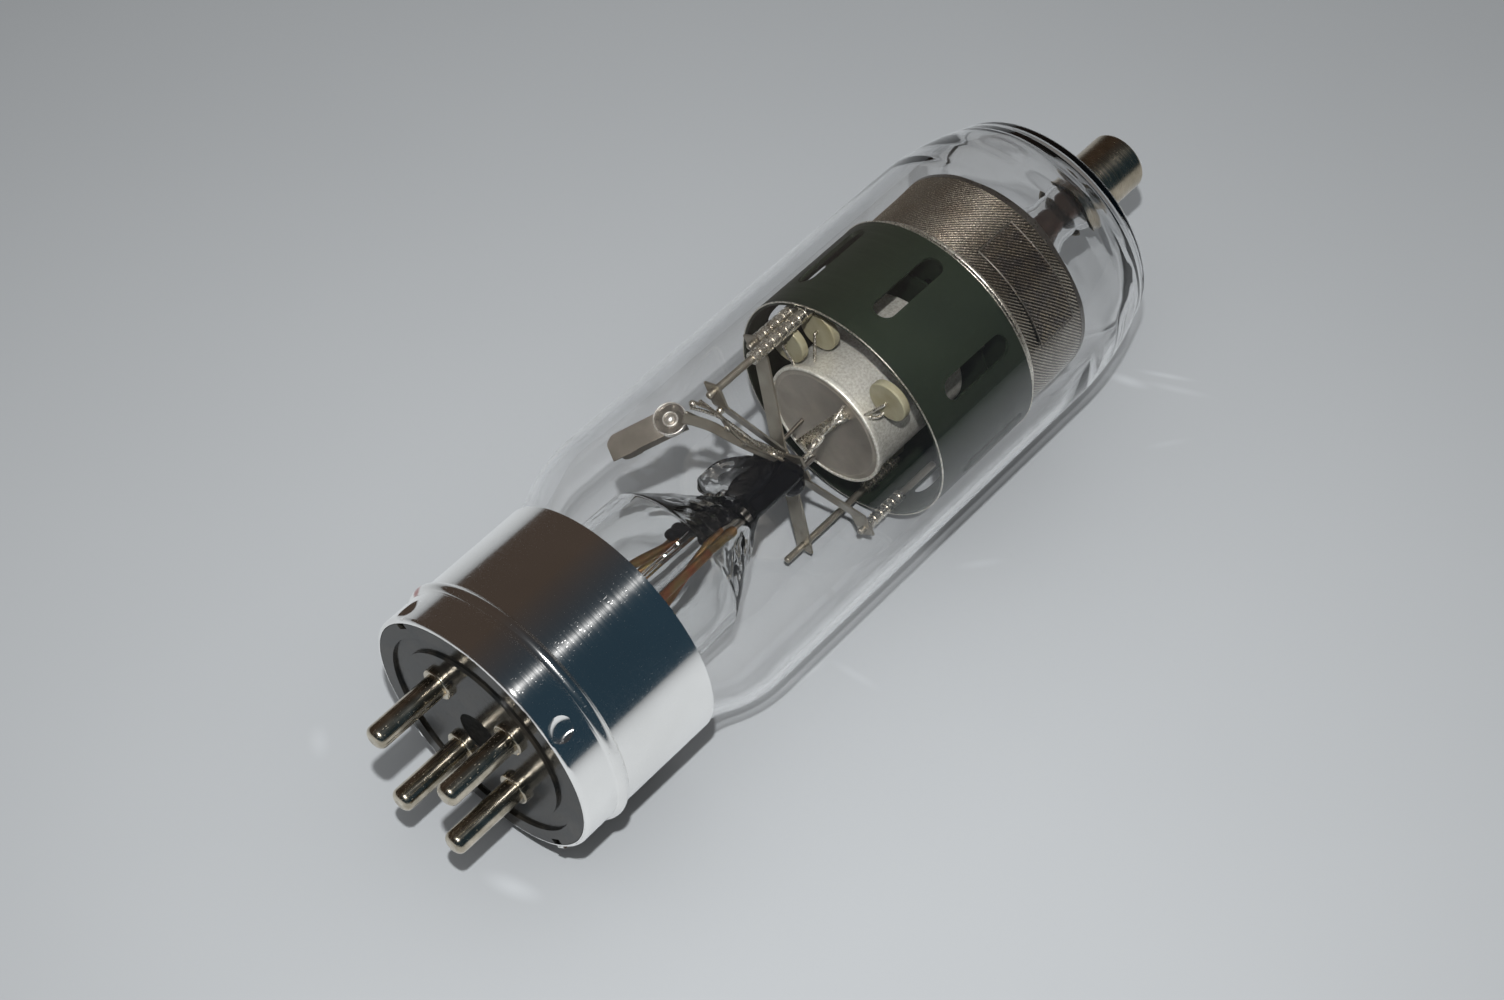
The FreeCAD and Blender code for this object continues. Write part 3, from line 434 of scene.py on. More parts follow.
def rounded(corners: list[Triple], steps: int = 4, closed: bool = True) -> Outline:
    """An outline with its corners rounded.

    Args:
        corners: station, radius and corner radius of each corner.
        steps: straight stretches in a rounded corner.
        closed: whether the last corner joins the first.

    Returns:
        The points of the outline, with its first repeated at the end if it is closed.
    """
    line: Outline = []
    for i, (station, radius, curve) in enumerate(corners):
        here = Vector((station, radius))
        back = Vector(corners[i - 1][:2]) - here
        ahead = Vector(corners[(i + 1) % len(corners)][:2]) - here
        if curve <= 0 or (not closed and i in (0, len(corners) - 1)):
            line.append((station, radius))
            continue
        half = back.angle(ahead) / 2
        reach = min(curve / math.tan(half), 0.49 * back.length, 0.49 * ahead.length)
        size = reach * math.tan(half)
        centre = here + (back.normalized() + ahead.normalized()).normalized() * size / math.sin(half)
        start = here + back.normalized() * reach - centre
        end = here + ahead.normalized() * reach - centre
        sweep = start.angle(end)
        for k in range(steps + 1):
            turn = k / steps * sweep
            point = centre + (start * math.sin(sweep - turn) + end * math.sin(turn)) / math.sin(sweep)
            line.append((point.x, point.y))
    if closed:
        line.append(line[0])
    return line


def arc(centre: Pair, radius: float, start: float, end: float, steps: int) -> Outline:
    """Points along an arc of an outline, angles in degrees from the station axis."""
    turns = [math.radians(start + (end - start) * k / steps) for k in range(steps + 1)]
    return [(centre[0] + radius * math.cos(t), centre[1] + radius * math.sin(t)) for t in turns]


def eased(line: Outline, steps: int = 4) -> Outline:
    """A line with points added on smooth steps between its own.

    Args:
        line: the line.
        steps: stretches between two of its points.

    Returns:
        The line with the added points.
    """
    out = [line[0]]
    for (x0, r0), (x1, r1) in zip(line, line[1:]):
        out += [(x0 + (x1 - x0) * k / steps, r0 + (r1 - r0) * smooth(k / steps)) for k in range(1, steps + 1)]
    return out


def turned(name: str, line: Outline, segments: int = 96, angle: float = 35.0,
           squash: list[Pair] | None = None, place: Matrix | None = None) -> Piece:
    """Turns a piece by drawing a ring of vertices out along an outline.

    Args:
        name: name of the new piece.
        line: stations and radii in millimetres.
        segments: vertices in each ring.
        angle: edges sharper than this many degrees stay sharp.
        squash: share of the radius across Y and Z at each point, if the piece isn't round.
        place: where its axis lies, if it isn't the tube's own.

    Returns:
        The new piece, smooth and with its doubles merged.
    """
    wide, high, previous = 1.0, 1.0, line[0][0]
    deselect()
    bpy.ops.mesh.primitive_circle_add(vertices=segments, radius=MM, location=(previous * MM, 0.0, 0.0),
                                      rotation=(0.0, math.pi / 2, 0.0))
    piece = bpy.context.object
    piece.name = piece.data.name = name
    bpy.ops.object.transform_apply()
    bpy.ops.object.mode_set(mode="EDIT")
    bpy.ops.mesh.select_all(action="SELECT")
    for k, (station, radius) in enumerate(line):
        if k:
            bpy.ops.mesh.extrude_edges_move(
                TRANSFORM_OT_translate={"value": ((station - previous) * MM, 0.0, 0.0)})
        across, up = squash[k] if squash else (1.0, 1.0)
        new_wide, new_high = max(radius * across, HAIRLINE), max(radius * up, HAIRLINE)
        bpy.ops.transform.resize(value=(1.0, new_wide / wide, new_high / high),
                                 center_override=(station * MM, 0.0, 0.0))
        wide, high, previous = new_wide, new_high, station
    clean_mesh()
    piece.matrix_world = place or Matrix.Translation(spot(0.0))
    bpy.ops.object.transform_apply()
    bpy.ops.object.shade_smooth_by_angle(angle=math.radians(angle))
    return piece


def balls(name: str, places: tuple[Four, ...], segments: int, rings: int) -> Piece:
    """Small balls, joined into one piece.

    Args:
        name: name of the piece.
        places: station, y, z and radius of each ball.
        segments: meridians of a ball.
        rings: parallels of a ball.

    Returns:
        The piece.
    """
    made = []
    for x, y, z, radius in places:
        bpy.ops.mesh.primitive_uv_sphere_add(segments=segments, ring_count=rings, radius=radius * MM,
                                             location=spot(x, y, z))
        made.append(bpy.context.object)
    activate(*made)
    if len(made) > 1:
        bpy.ops.object.join()
    bpy.ops.object.transform_apply()
    bpy.context.object.name = name
    return bpy.context.object


def wander(piece: Piece, wave: Pair, group: str = "") -> None:
    """Moves the surface of a piece in and out in soft waves.

    Args:
        piece: the piece.
        wave: size and full depth of the waves in millimetres, plain waves from 10 mm up.
        group: vertex group that says where, if not everywhere.
    """
    reach, depth = wave
    texture = bpy.data.textures.new(piece.name + " waves", "CLOUDS")
    texture.noise_scale = reach * MM
    texture.noise_depth = 0 if reach > 10 else 1
    activate(piece)
    warp = piece.modifiers.new("warp", "DISPLACE")
    warp.texture = texture
    warp.texture_coords = "LOCAL"
    warp.strength = depth * MM
    warp.vertex_group = group
    bpy.ops.object.modifier_apply(modifier=warp.name)


@dataclass
class Bulb:
    """The blown bulb: neck, swelling, straight body, shoulder and domed top."""

    wall: float = 1.6
    body: float = 33.0
    neck: float = 27.9
    neck_end: float = -14.0
    swell: Pair = (-4.0, 19.0)
    shoulder: float = 118.0
    shoulder_curve: float = 62.0
    top: float = 150.65
    top_curve: float = 51.5
    edge: float = 3.0
    inner_edge: float = 4.5
    hole: float = 3.0
    fine_step: float = 0.45
    bead: float = 0.3
    bead_reach: float = 3.6
    uneven_wave: Pair = (15.0, 2.6)
    uneven_start: float = 114.0
    uneven_run: float = 10.0
    calm_radius: float = 12.0
    calm_run: float = 6.0
    corner_calm: float = 3.0
    corner_run: float = 4.0
    segments: int = 224

    def curves(self, inset: float) -> tuple[Pair, float, Pair, float, Pair]:
        """The two curves of the top.

        Args:
            inset: millimetres inside the outer wall.

        Returns:
            Centre and radius of the shoulder's curve and of the dome's, and the corner where they meet.
        """
        centre, dome = (self.shoulder, self.body - self.shoulder_curve), (self.top - self.top_curve, 0.0)
        round_r, dome_r = self.shoulder_curve - inset, self.top_curve - inset
        gap = math.dist(dome, centre)
        along = (gap ** 2 + round_r ** 2 - dome_r ** 2) / (2 * gap)
        off = math.sqrt(round_r ** 2 - along ** 2)
        ux, uy = (dome[0] - centre[0]) / gap, (dome[1] - centre[1]) / gap
        corner = max(((centre[0] + along * ux - side * off * uy, centre[1] + along * uy + side * off * ux)
                      for side in (1, -1)), key=lambda point: point[1])
        return centre, round_r, dome, dome_r, corner

    def side(self, inset: float, edge: float) -> Outline:
        """One wall from the neck to the seal.

        Args:
            inset: millimetres inside the outer wall.
            edge: radius that rounds the edge of the top.

        Returns:
            The wall's points.
        """
        low, high = self.swell
        rise, run = self.body - self.neck, high - low
        curve = (run * run + rise * rise) / (4 * rise)
        slope = math.degrees(math.asin(run / 2 / curve))
        line = [(self.neck_end, self.neck - inset), ((self.neck_end + low) / 2, self.neck - inset)]
        line += arc((low, self.neck + curve), curve + inset, -90.0, -90.0 + slope, 9)[:-1]
        line += arc((high, self.body - curve), curve - inset, 90.0 + slope, 90.0, 9)
        line += [(high + (self.shoulder - high) * k / 8, self.body - inset) for k in range(1, 8)]
        centre, round_r, dome, dome_r, corner = self.curves(inset)
        low_turn = math.degrees(math.atan2(corner[1] - centre[1], corner[0] - centre[0]))
        high_turn = math.degrees(math.atan2(corner[1], corner[0] - dome[0]))
        hole_turn = math.degrees(math.asin(self.hole / dome_r))
        shoulder = arc(centre, round_r, 90.0, low_turn, 16)
        cap = arc(dome, dome_r, high_turn, hole_turn, 20)
        rim = rounded([(*shoulder[-3], 0.0), (*corner, edge), (*cap[2], 0.0)], steps=12, closed=False)
        worked = self.beaded(shoulder[-5:-2] + rim[1:-1] + cap[2:5], corner, -1.0 if inset > 0 else 1.0)
        return line + shoulder[:-5] + worked + cap[5:]

    def beaded(self, line: Outline, corner: Pair, way: float) -> Outline:
        """Adds the low bead that is left where the top was sealed on.

        Args:
            line: the stretch round the corner.
            corner: where the two curves would meet.
            way: 1 if the wall swells outwards, -1 if it swells inwards.

        Returns:
            The stretch with points close together and the bead drawn in.
        """
        fine: Outline = []
        for (x0, r0), (x1, r1) in zip(line, line[1:]):
            steps = max(1, round(math.hypot(x1 - x0, r1 - r0) / self.fine_step))
            fine += [(x0 + (x1 - x0) * k / steps, r0 + (r1 - r0) * k / steps) for k in range(steps)]
        out: Outline = []
        for x, r in fine + [line[-1]]:
            turn = share(math.dist((x, r), corner), self.bead_reach) * math.pi
            swell = way * self.bead * (1 + math.cos(turn)) / 2
            length = math.hypot(x - self.shoulder, r)
            out.append((x + swell * (x - self.shoulder) / length, r + swell * r / length))
        return out

    def build(self) -> None:
        """Makes the bulb as one closed wall and dresses it."""
        outer = self.side(0.0, self.edge)
        line = outer + self.side(self.wall, self.inner_edge)[::-1] + [outer[0]]
        bulb = turned("bulb_glass", line, self.segments, 60.0)
        self.uneven(bulb)
        dress(bulb, BULB_GLASS)
        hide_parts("bulb")

    def uneven(self, bulb: Piece) -> None:
        """Lets the inside of the dome wander, as where the glass was worked.

        Args:
            bulb: the bulb.
        """
        group = bulb.vertex_groups.new(name="worked")
        first, last = spot(self.uneven_start).x, spot(self.top).x
        corner = self.curves(self.wall)[-1]
        dome, wall = spot(self.top - self.top_curve), 0.6 * self.wall
        for v in bulb.data.vertices:
            away = math.hypot(v.co.y, v.co.z - AXIS_Z) / MM
            narrower = (v.co.x - first) / (last - first) * 4
            if (v.co.x >= first and away >= self.calm_radius and away < self.body - wall - narrower
                    and (v.co - dome).length / MM < self.top_curve - wall):
                off = math.dist(((v.co.x - MOUTH_X) / MM, away), corner) - self.corner_calm
                weight = (share(v.co.x - first, self.uneven_run * MM) * share(off, self.corner_run)
                          * share(away - self.calm_radius, self.calm_run))
                group.add([v.index], weight, "REPLACE")
        wander(bulb, self.uneven_wave, group.name)


@dataclass
class Stem:
    """Clear flare and tube that close to a flat pinch, dark where the leads are fused in."""

    lip: float = -15.3
    lip_radius: float = 27.9
    neck_inner: float = 26.3
    wall: float = 1.3
    radius: float = 18.0
    flare: float = 2.0
    shoulder: float = 19.0
    pinch: float = 38.0
    top: float = 53.0
    half_width: float = 8.0
    half_thick: float = 3.2
    hollow: float = 35.0
    angle: float = 150.0
    dark_from: float = 35.5
    wrinkle: Pair = (5.0, 1.8)
    lump_wave: Pair = (2.6, 0.45)
    fold: Four = (41.6, 2.9, 4.2, 1.0)
    fold_size: Triple = (8.2, 4.6, 3.2)
    fold_angle: float = -28.0
    fold_wave: Pair = (3.4, 1.2)
    LUMPS: ClassVar[tuple[Four, ...]] = (
        (33.9, -0.6, 0.5, 2.4), (31.0, 1.4, 0.8, 2.2), (28.4, 3.2, 0.8, 2.0), (26.2, 4.2, 0.6, 1.7),
        (24.2, 4.8, 0.4, 1.3), (30.4, -1.0, 0.6, 1.8), (27.8, -1.2, 0.4, 1.5), (33.0, 2.8, 0.8, 1.9),
        (36.5, -0.5, 0.8, 2.6), (36.2, 2.4, 0.8, 2.2), (38.8, -1.2, 0.8, 2.9), (30.0, 4.6, 0.6, 1.4),
        (50.4, -5.0, 0.4, 2.9), (52.0, -1.5, 0.6, 2.7), (51.4, 3.6, 0.4, 2.5),
    )
    TIP: ClassVar[tuple[Triple, ...]] = (
        (0.2, 1.0, 1.0), (0.5, 1.02, 1.0), (0.75, 1.04, 1.0), (0.9, 1.0, 0.92), (0.97, 0.94, 0.75),
        (1.0, 0.82, 0.5), (1.0, 0.4, 0.2), (1.0, 0.01, 0.01),
    )

    def sections(self) -> list[Triple]:
        """Station, half width and half thickness of every ring, from the hollow's tip round to the top."""
        inner_r, face = self.radius - self.wall, self.lip + self.wall
        inner = [(self.flare, inner_r), (-6.0, inner_r + 1.0), (self.lip, self.neck_inner - 4 * self.wall)]
        outer = [(face, self.neck_inner - 0.2), (self.lip + 3.6, 22.6), (-6.0, self.radius + 1.2),
                 (self.flare, self.radius)]
        rings = [(self.hollow, 0.01, 0.01), (self.hollow, 4.0, 1.2)]
        rings += self.taper(self.hollow - 0.6, 6.6, 2.4, inner_r)
        rings += [(x, r, r) for x, r in eased(inner)]
        rings += [(x, self.lip_radius, self.lip_radius) for x in (self.lip, face)]
        rings += [(x, r, r) for x, r in eased(outer)]
        rings += self.taper(self.pinch, self.half_width, self.half_thick, self.radius)[::-1]
        rings += [(self.pinch + (self.top - self.pinch) * along, self.half_width * wide,
                   self.half_thick * thick) for along, wide, thick in self.TIP]
        return rings

    def taper(self, tip: float, width: float, thick: float, radius: float) -> list[Triple]:
        """Rings from a flattened tip back to the round shoulder.

        Args:
            tip: station of the tip.
            width: its half width.
            thick: its half thickness.
            radius: radius at the shoulder.

        Returns:
            The rings.
        """
        rings = []
        for k in range(17):
            t = 1 - k / 16
            wide = radius + (width - radius) * (0.75 * t + 0.25 * smooth(t))
            high = radius + (thick - radius) * (0.9 * t + 0.1 * smooth(t))
            rings.append((self.shoulder + (tip - self.shoulder) * t, wide, high))
        return rings

    def build(self) -> None:
        """Makes the stem, wrinkles its taper and darkens its pinch."""
        rings = self.sections()
        stem = turned("stem_glass", [(x, wide) for x, wide, _ in rings], 144, 60.0,
                      [(1.0, thick / wide) for _, wide, thick in rings])
        bpy.ops.object.mode_set(mode="EDIT")
        bpy.ops.mesh.select_all(action="SELECT")
        bpy.ops.transform.rotate(value=-math.radians(self.angle), orient_axis="X", center_override=spot(0.0))
        bpy.ops.object.mode_set(mode="OBJECT")
        self.wrinkled(stem)
        for glass in (STEM_GLASS, FUSED):
            stem.data.materials.append(glass.material())
        for face in stem.data.polygons:
            face.material_index = int(face.center.x > spot(self.dark_from).x)
        dress(stem, STEM_GLASS)
        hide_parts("stem")
        self.wrap()
        lumps = balls("pinch_beads", self.LUMPS, 28, 16)
        wander(lumps, self.lump_wave)
        bpy.ops.object.shade_smooth()
        dress(lumps, FUSED)

    def wrap(self) -> None:
        """Makes the clear folded glass that bulges from one side of the pinch."""
        fold = balls("pinch_fold", (self.fold,), 64, 40)
        middle = spot(*self.fold[:3])
        bpy.ops.object.mode_set(mode="EDIT")
        bpy.ops.mesh.select_all(action="SELECT")
        bpy.ops.transform.resize(value=self.fold_size, center_override=middle)
        bpy.ops.transform.rotate(value=-math.radians(self.fold_angle), orient_axis="Z",
                                 center_override=middle)
        bpy.ops.object.mode_set(mode="OBJECT")
        wander(fold, self.fold_wave)
        bpy.ops.object.shade_smooth()
        dress(fold, FOLD_GLASS)

    def wrinkled(self, stem: Piece) -> None:
        """Draws waves into the glass where it was pressed, fading out along the taper.

        Args:
            stem: the stem.
        """
        group = stem.vertex_groups.new(name="soft")
        low, high, end = spot(self.shoulder + 4).x, spot(self.pinch - 4).x, spot(self.top - 3).x
        for v in stem.data.vertices:
            rise, fall = share(v.co.x - low, high - low), share(end - v.co.x, end - high)
            calm = 1 - 0.8 * share(v.co.x - high, 3 * MM)
            group.add([v.index], rise * (0.35 + 0.65 * fall) * calm, "REPLACE")
        wander(stem, self.wrinkle, group.name)


@dataclass
class Gauze:
    """Woven wire gauze drawn round the anode, with the lapped patch over it."""

    start: float = 104.3
    end: float = 121.9
    radius: float = 26.1
    turned_in: float = 0.35
    pitch: float = 0.47
    rise: float = 0.2
    patch: Pair = (107.9, 118.9)
    patch_turn: Pair = (104.5, 159.0)
    patch_radius: float = 26.62
    patch_wall: float = 0.3
    hem_radius: float = 0.16

    def wires(self, length: float) -> int:
        """Even number of wires along a length."""
        return 2 * round(length / self.pitch / 2)

    def build(self) -> None:
        """Makes the gauze and its patch and dresses them."""
        rows = self.wires(self.end - self.start)
        line = [(self.start + (self.end - self.start) * k / rows, self.radius) for k in range(rows + 1)]
        edge = self.radius - self.turned_in
        gauze = self.woven("gauze", [(self.start, edge), *line, (self.end, edge)], self.radius)
        dress(gauze, WEAVE)
        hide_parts("anode_gauze")
        self.hem()
        self.lay_patch()

    def woven(self, name: str, line: Outline, radius: float) -> Piece:
        """Turns a sheet and lifts every other crossing, so that it looks woven.

        Args:
            name: name of the new piece.
            line: its stations and radii, a wire apart.
            radius: radius of the sheet.

        Returns:
            The sheet.
        """
        columns = self.wires(2 * math.pi * self.radius)
        piece = turned(name, line, columns, 5.0)
        step, first = 2 * math.pi / columns, spot(self.start).x
        row_gap = (self.end - self.start) / self.wires(self.end - self.start) * MM
        pick_none(piece, "VERT")
        for v in piece.data.vertices:
            turn = round(math.atan2(v.co.z - AXIS_Z, v.co.y) / step)
            v.select = (turn + round((v.co.x - first) / row_gap)) % 2 == 0
        lift = 1 + self.rise / radius
        bpy.ops.object.mode_set(mode="EDIT")
        bpy.ops.transform.resize(value=(1.0, lift, lift), center_override=spot(self.start))
        bpy.ops.object.mode_set(mode="OBJECT")
        bpy.ops.object.shade_flat()
        return piece

    def lay_patch(self) -> None:
        """Cuts the patch out of a woven ring that is a little wider, and gives it thickness."""
        (low, high), (first, last) = self.patch, self.patch_turn
        rows = self.wires(high - low)
        line = [(low + (high - low) * k / rows, self.patch_radius) for k in range(rows + 1)]
        patch = self.woven("gauze_lap", line, self.patch_radius)
        pick_none(patch, "FACE")
        for face in patch.data.polygons:
            turn = math.degrees(math.atan2(face.center.z - AXIS_Z, face.center.y)) % 360
            face.select = not first < turn < last
        bpy.ops.object.mode_set(mode="EDIT")
        bpy.ops.mesh.delete(type="FACE")
        bpy.ops.mesh.select_mode(type="VERT")
        bpy.ops.object.mode_set(mode="OBJECT")
        thick = patch.modifiers.new("thick", "SOLIDIFY")
        thick.thickness = self.patch_wall * MM
        thick.offset = 0.0
        bpy.ops.object.modifier_apply(modifier=thick.name)
        dress(patch, LAP)
        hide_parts("gauze_patch")

    def hem(self) -> None:
        """Makes the thin drawn edge round the patch."""
        (low, high), (first, last) = self.patch, self.patch_turn
        turns = [math.radians(first + (last - first) * k / 12) for k in range(13)]
        radius = self.patch_radius + self.rise
        lower, upper = ([(x, radius * math.cos(t), radius * math.sin(t)) for t in turns] for x in (low, high))
        sides = (lower, upper[::-1], (upper[0], lower[0]), (lower[-1], upper[-1]))
        for k, points in enumerate(sides):
            Strand("patch_hem_%d" % (k + 1), self.hem_radius, tuple(points)).build(ANODE, "gauze_nickel")


@dataclass
class Bands:
    """Rolled band below the gauze, and the bright lips of the grid cylinder."""

    band: Four = (103.2, 104.3, 25.7, 26.9)
    lips: tuple[Four, ...] = ((101.7, 102.03, 27.9, 28.25), (71.67, 71.95, 27.85, 28.15))

    def ring(self, name: str, sizes: Four, slot: str) -> Piece:
        """Makes a bright ring of rounded section.

        Args:
            name: name of the piece.
            sizes: its two stations and its inner and outer radius.
            slot: not used.

        Returns:
            The ring.
        """
        low, high, inner, outer = sizes
        curve = 0.45 * min(high - low, outer - inner)
        line = rounded([(low, inner, curve / 3), (low, outer, curve), (high, outer, curve),
                        (high, inner, curve / 3)])
        return dress(turned(name, line, 160), BRIGHT)

    def build(self) -> None:
        """Makes the rings."""
        band = self.ring("rolled_band", self.band, "ring_nickel")
        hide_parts("anode_ring")
        for k, lip in enumerate(self.lips):
            self.ring("grid_lip_%d" % (k + 1), lip, "grid_green")


@dataclass
class AnodeLead:
    """Lead rod in its clear sleeve under the dome."""

    start: float = 123.4
    end: float = 152.5
    radius: float = 2.9
    foot: float = 0.9
    sleeve: Four = (125.2, 148.2, 4.3, 5.5)
    COLLARS: ClassVar[tuple[Four, ...]] = ((133.0, 135.4, 0.4, 0.35), (141.0, 145.0, 0.5, 0.3))

    def build(self) -> None:
        """Makes the rod with its collars, and the sleeve."""
        r, foot = self.radius, self.radius + self.foot
        line = [(self.start, 0.0), (self.start, foot), (self.start + 1.6, foot), (self.start + 1.9, r)]
        for low, high, slope, rise in self.COLLARS:
            line += [(low, r), (low + slope, r + rise), (high - slope, r + rise), (high, r)]
        rod = turned("lead_rod", line + [(self.end, r), (self.end, 0.0)], 64)
        dress(rod, LEAD)
        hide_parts("anode_lead")
        low, high, inner, outer = self.sleeve
        line = rounded([(low, inner, 0.4), (low, outer, 0.5), (high, outer, 0.2), (high, inner, 0.2)])
        sleeve = turned("lead_sleeve", eased(line, 3), 72, 60.0)
        dress(sleeve, CLEAR_GLASS)
        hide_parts("anode_seal")


@dataclass
class Cathode:
    """Blasted can with a thin rolled lip round its end disc."""

    start: float = 66.6
    end: float = 95.0
    radius: float = 14.6
    wall: float = 0.5
    lip: float = 15.2
    lip_inner: float = 14.45
    lip_width: float = 1.5
    disc_sunk: float = 0.35
    disc_thick: float = 0.6
    disc_radius: float = 14.4
    disc_ridge: Triple = (1.6, 1.1, 0.7)
    ridge_height: float = 0.22

    def build(self) -> None:
        """Makes the can and its end disc and dresses them."""
        r, face, edge = self.radius, self.start + self.disc_sunk, self.disc_radius
        behind, back = face + 2 * self.disc_thick, face + self.disc_thick
        lip_end = self.start + self.lip_width
        line = rounded([(self.start, self.lip_inner, 0.2), (self.start, self.lip, 0.5),
                        (lip_end, self.lip, 0.5), (lip_end, r, 0.15), (self.end, r, 0.1),
                        (self.end, r - self.wall, 0.1), (behind, r - self.wall, 0.1),
                        (behind, self.lip_inner, 0.1)])
        can = turned("can", line, 128)
        dress(can, BLASTED)
        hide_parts("cathode_can")
        foot, crown, end = (edge - inset for inset in self.disc_ridge)
        line = [(face, 0.0), (face, foot), (face - self.ridge_height, crown), (face, end), (face, edge),
                (back, edge), (back, 0.0)]
        disc = turned("can_disc", line, 128)
        dress(disc, DISC)
        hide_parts("cathode_disc")


@dataclass
class Getter:
    """Pressed ring with an open trough and a hub in its middle."""

    centre: Triple = (38.0, 17.5, 14.5)
    normal: Triple = (-0.35, -0.1, 0.93)
    radius: float = 3.6
    height: float = 1.5
    wall: float = 0.3
    channel: float = 1.35
    hub: float = 0.85

    def on_axis(self, name: str, line: Outline, segments: int, finish: Finish, angle: float = 35.0
                ) -> Piece:
        """Turns one of its pieces on the getter's own axis and dresses it.

        Args:
            name: name of the piece.
            line: its outline.
            segments: vertices in each ring.
            finish: what its surface is.
            angle: edges sharper than this many degrees stay sharp.

        Returns:
            The piece.
        """
        facing = Vector(self.normal).to_track_quat("X", "Z").to_matrix().to_4x4()
        place = Matrix.Translation(spot(*self.centre)) @ facing
        return dress(turned(name, line, segments, angle, place=place), finish)

    def build(self) -> None:
        """Makes the ring, what fills its trough, and the knob in its middle."""
        half, t, outer, inner = self.height / 2, self.wall, self.radius, self.channel
        trough = rounded([(half, outer, 0.12), (half, outer - t, 0.12), (-half + t, outer - t - 0.2, 0.25),
                          (-half + t, inner + t + 0.1, 0.25), (half * 0.7, inner + t, 0.12),
                          (half * 0.7, inner, 0.12), (-half, inner, 0.1), (-half, outer, 0.1)])
        ring = self.on_axis("getter_trough", trough, 72, GETTER)
        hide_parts("getter_ring")
        fill = rounded([(half * 0.2, outer - t, 0.05), (half * 0.2, inner + t, 0.05),
                        (-half + t, inner + t, 0.05), (-half + t, outer - t, 0.05)])
        self.on_axis("getter_fill", fill, 72, ANODE)
        knob = [(half + 0.35, 0.0), (half + 0.3, self.hub * 0.6), (half, self.hub), (0.0, self.hub),
                (-half, inner - 0.05), (-half, 0.0)]
        self.on_axis("getter_knob", knob, 40, GETTER, 50.0)


@dataclass(frozen=True)
class Strand:
    """One bent wire or ribbon: its name, radius, and points along it in millimetres."""

    name: str
    radius: float
    points: tuple[Triple, ...]
    flat: float = 1.0
    tilt: float = 0.0

    def build(self, finish: Finish, slot: str = "frame_nickel") -> None:
        """Makes it as a smooth curve with a round or flat section.

        Args:
            finish: what its surface is.
            slot: not used.
        """
        deselect()
        bpy.ops.curve.primitive_nurbs_path_add(location=(0.0, 0.0, 0.0))
        curve = bpy.context.object.data
        bpy.context.object.name = self.name
        curve.splines[0].points.add(max(0, len(self.points) - len(curve.splines[0].points)))
        while len(curve.splines[0].points) > len(self.points):
            bpy.ops.object.mode_set(mode="EDIT")
            bpy.ops.curve.select_all(action="DESELECT")
            curve.splines[0].points[-1].select = True
            bpy.ops.curve.delete(type="VERT")
            bpy.ops.object.mode_set(mode="OBJECT")
        line = curve.splines[0]
        for point, place in zip(line.points, self.points):
            point.co = (*spot(*place), 1.0)
            point.tilt = self.tilt
        line.order_u = min(3, len(self.points))
        line.use_endpoint_u = True
        line.resolution_u = 6
        curve.bevel_resolution = 3
        curve.use_fill_caps = True
        curve.bevel_depth = self.radius * self.flat * MM
        curve.extrude = self.radius * (1 - self.flat) * MM
        bpy.ops.object.convert(target="MESH")
        clean_mesh()
        bpy.ops.object.shade_smooth_by_angle(angle=math.radians(50))
        dress(bpy.context.object, finish)


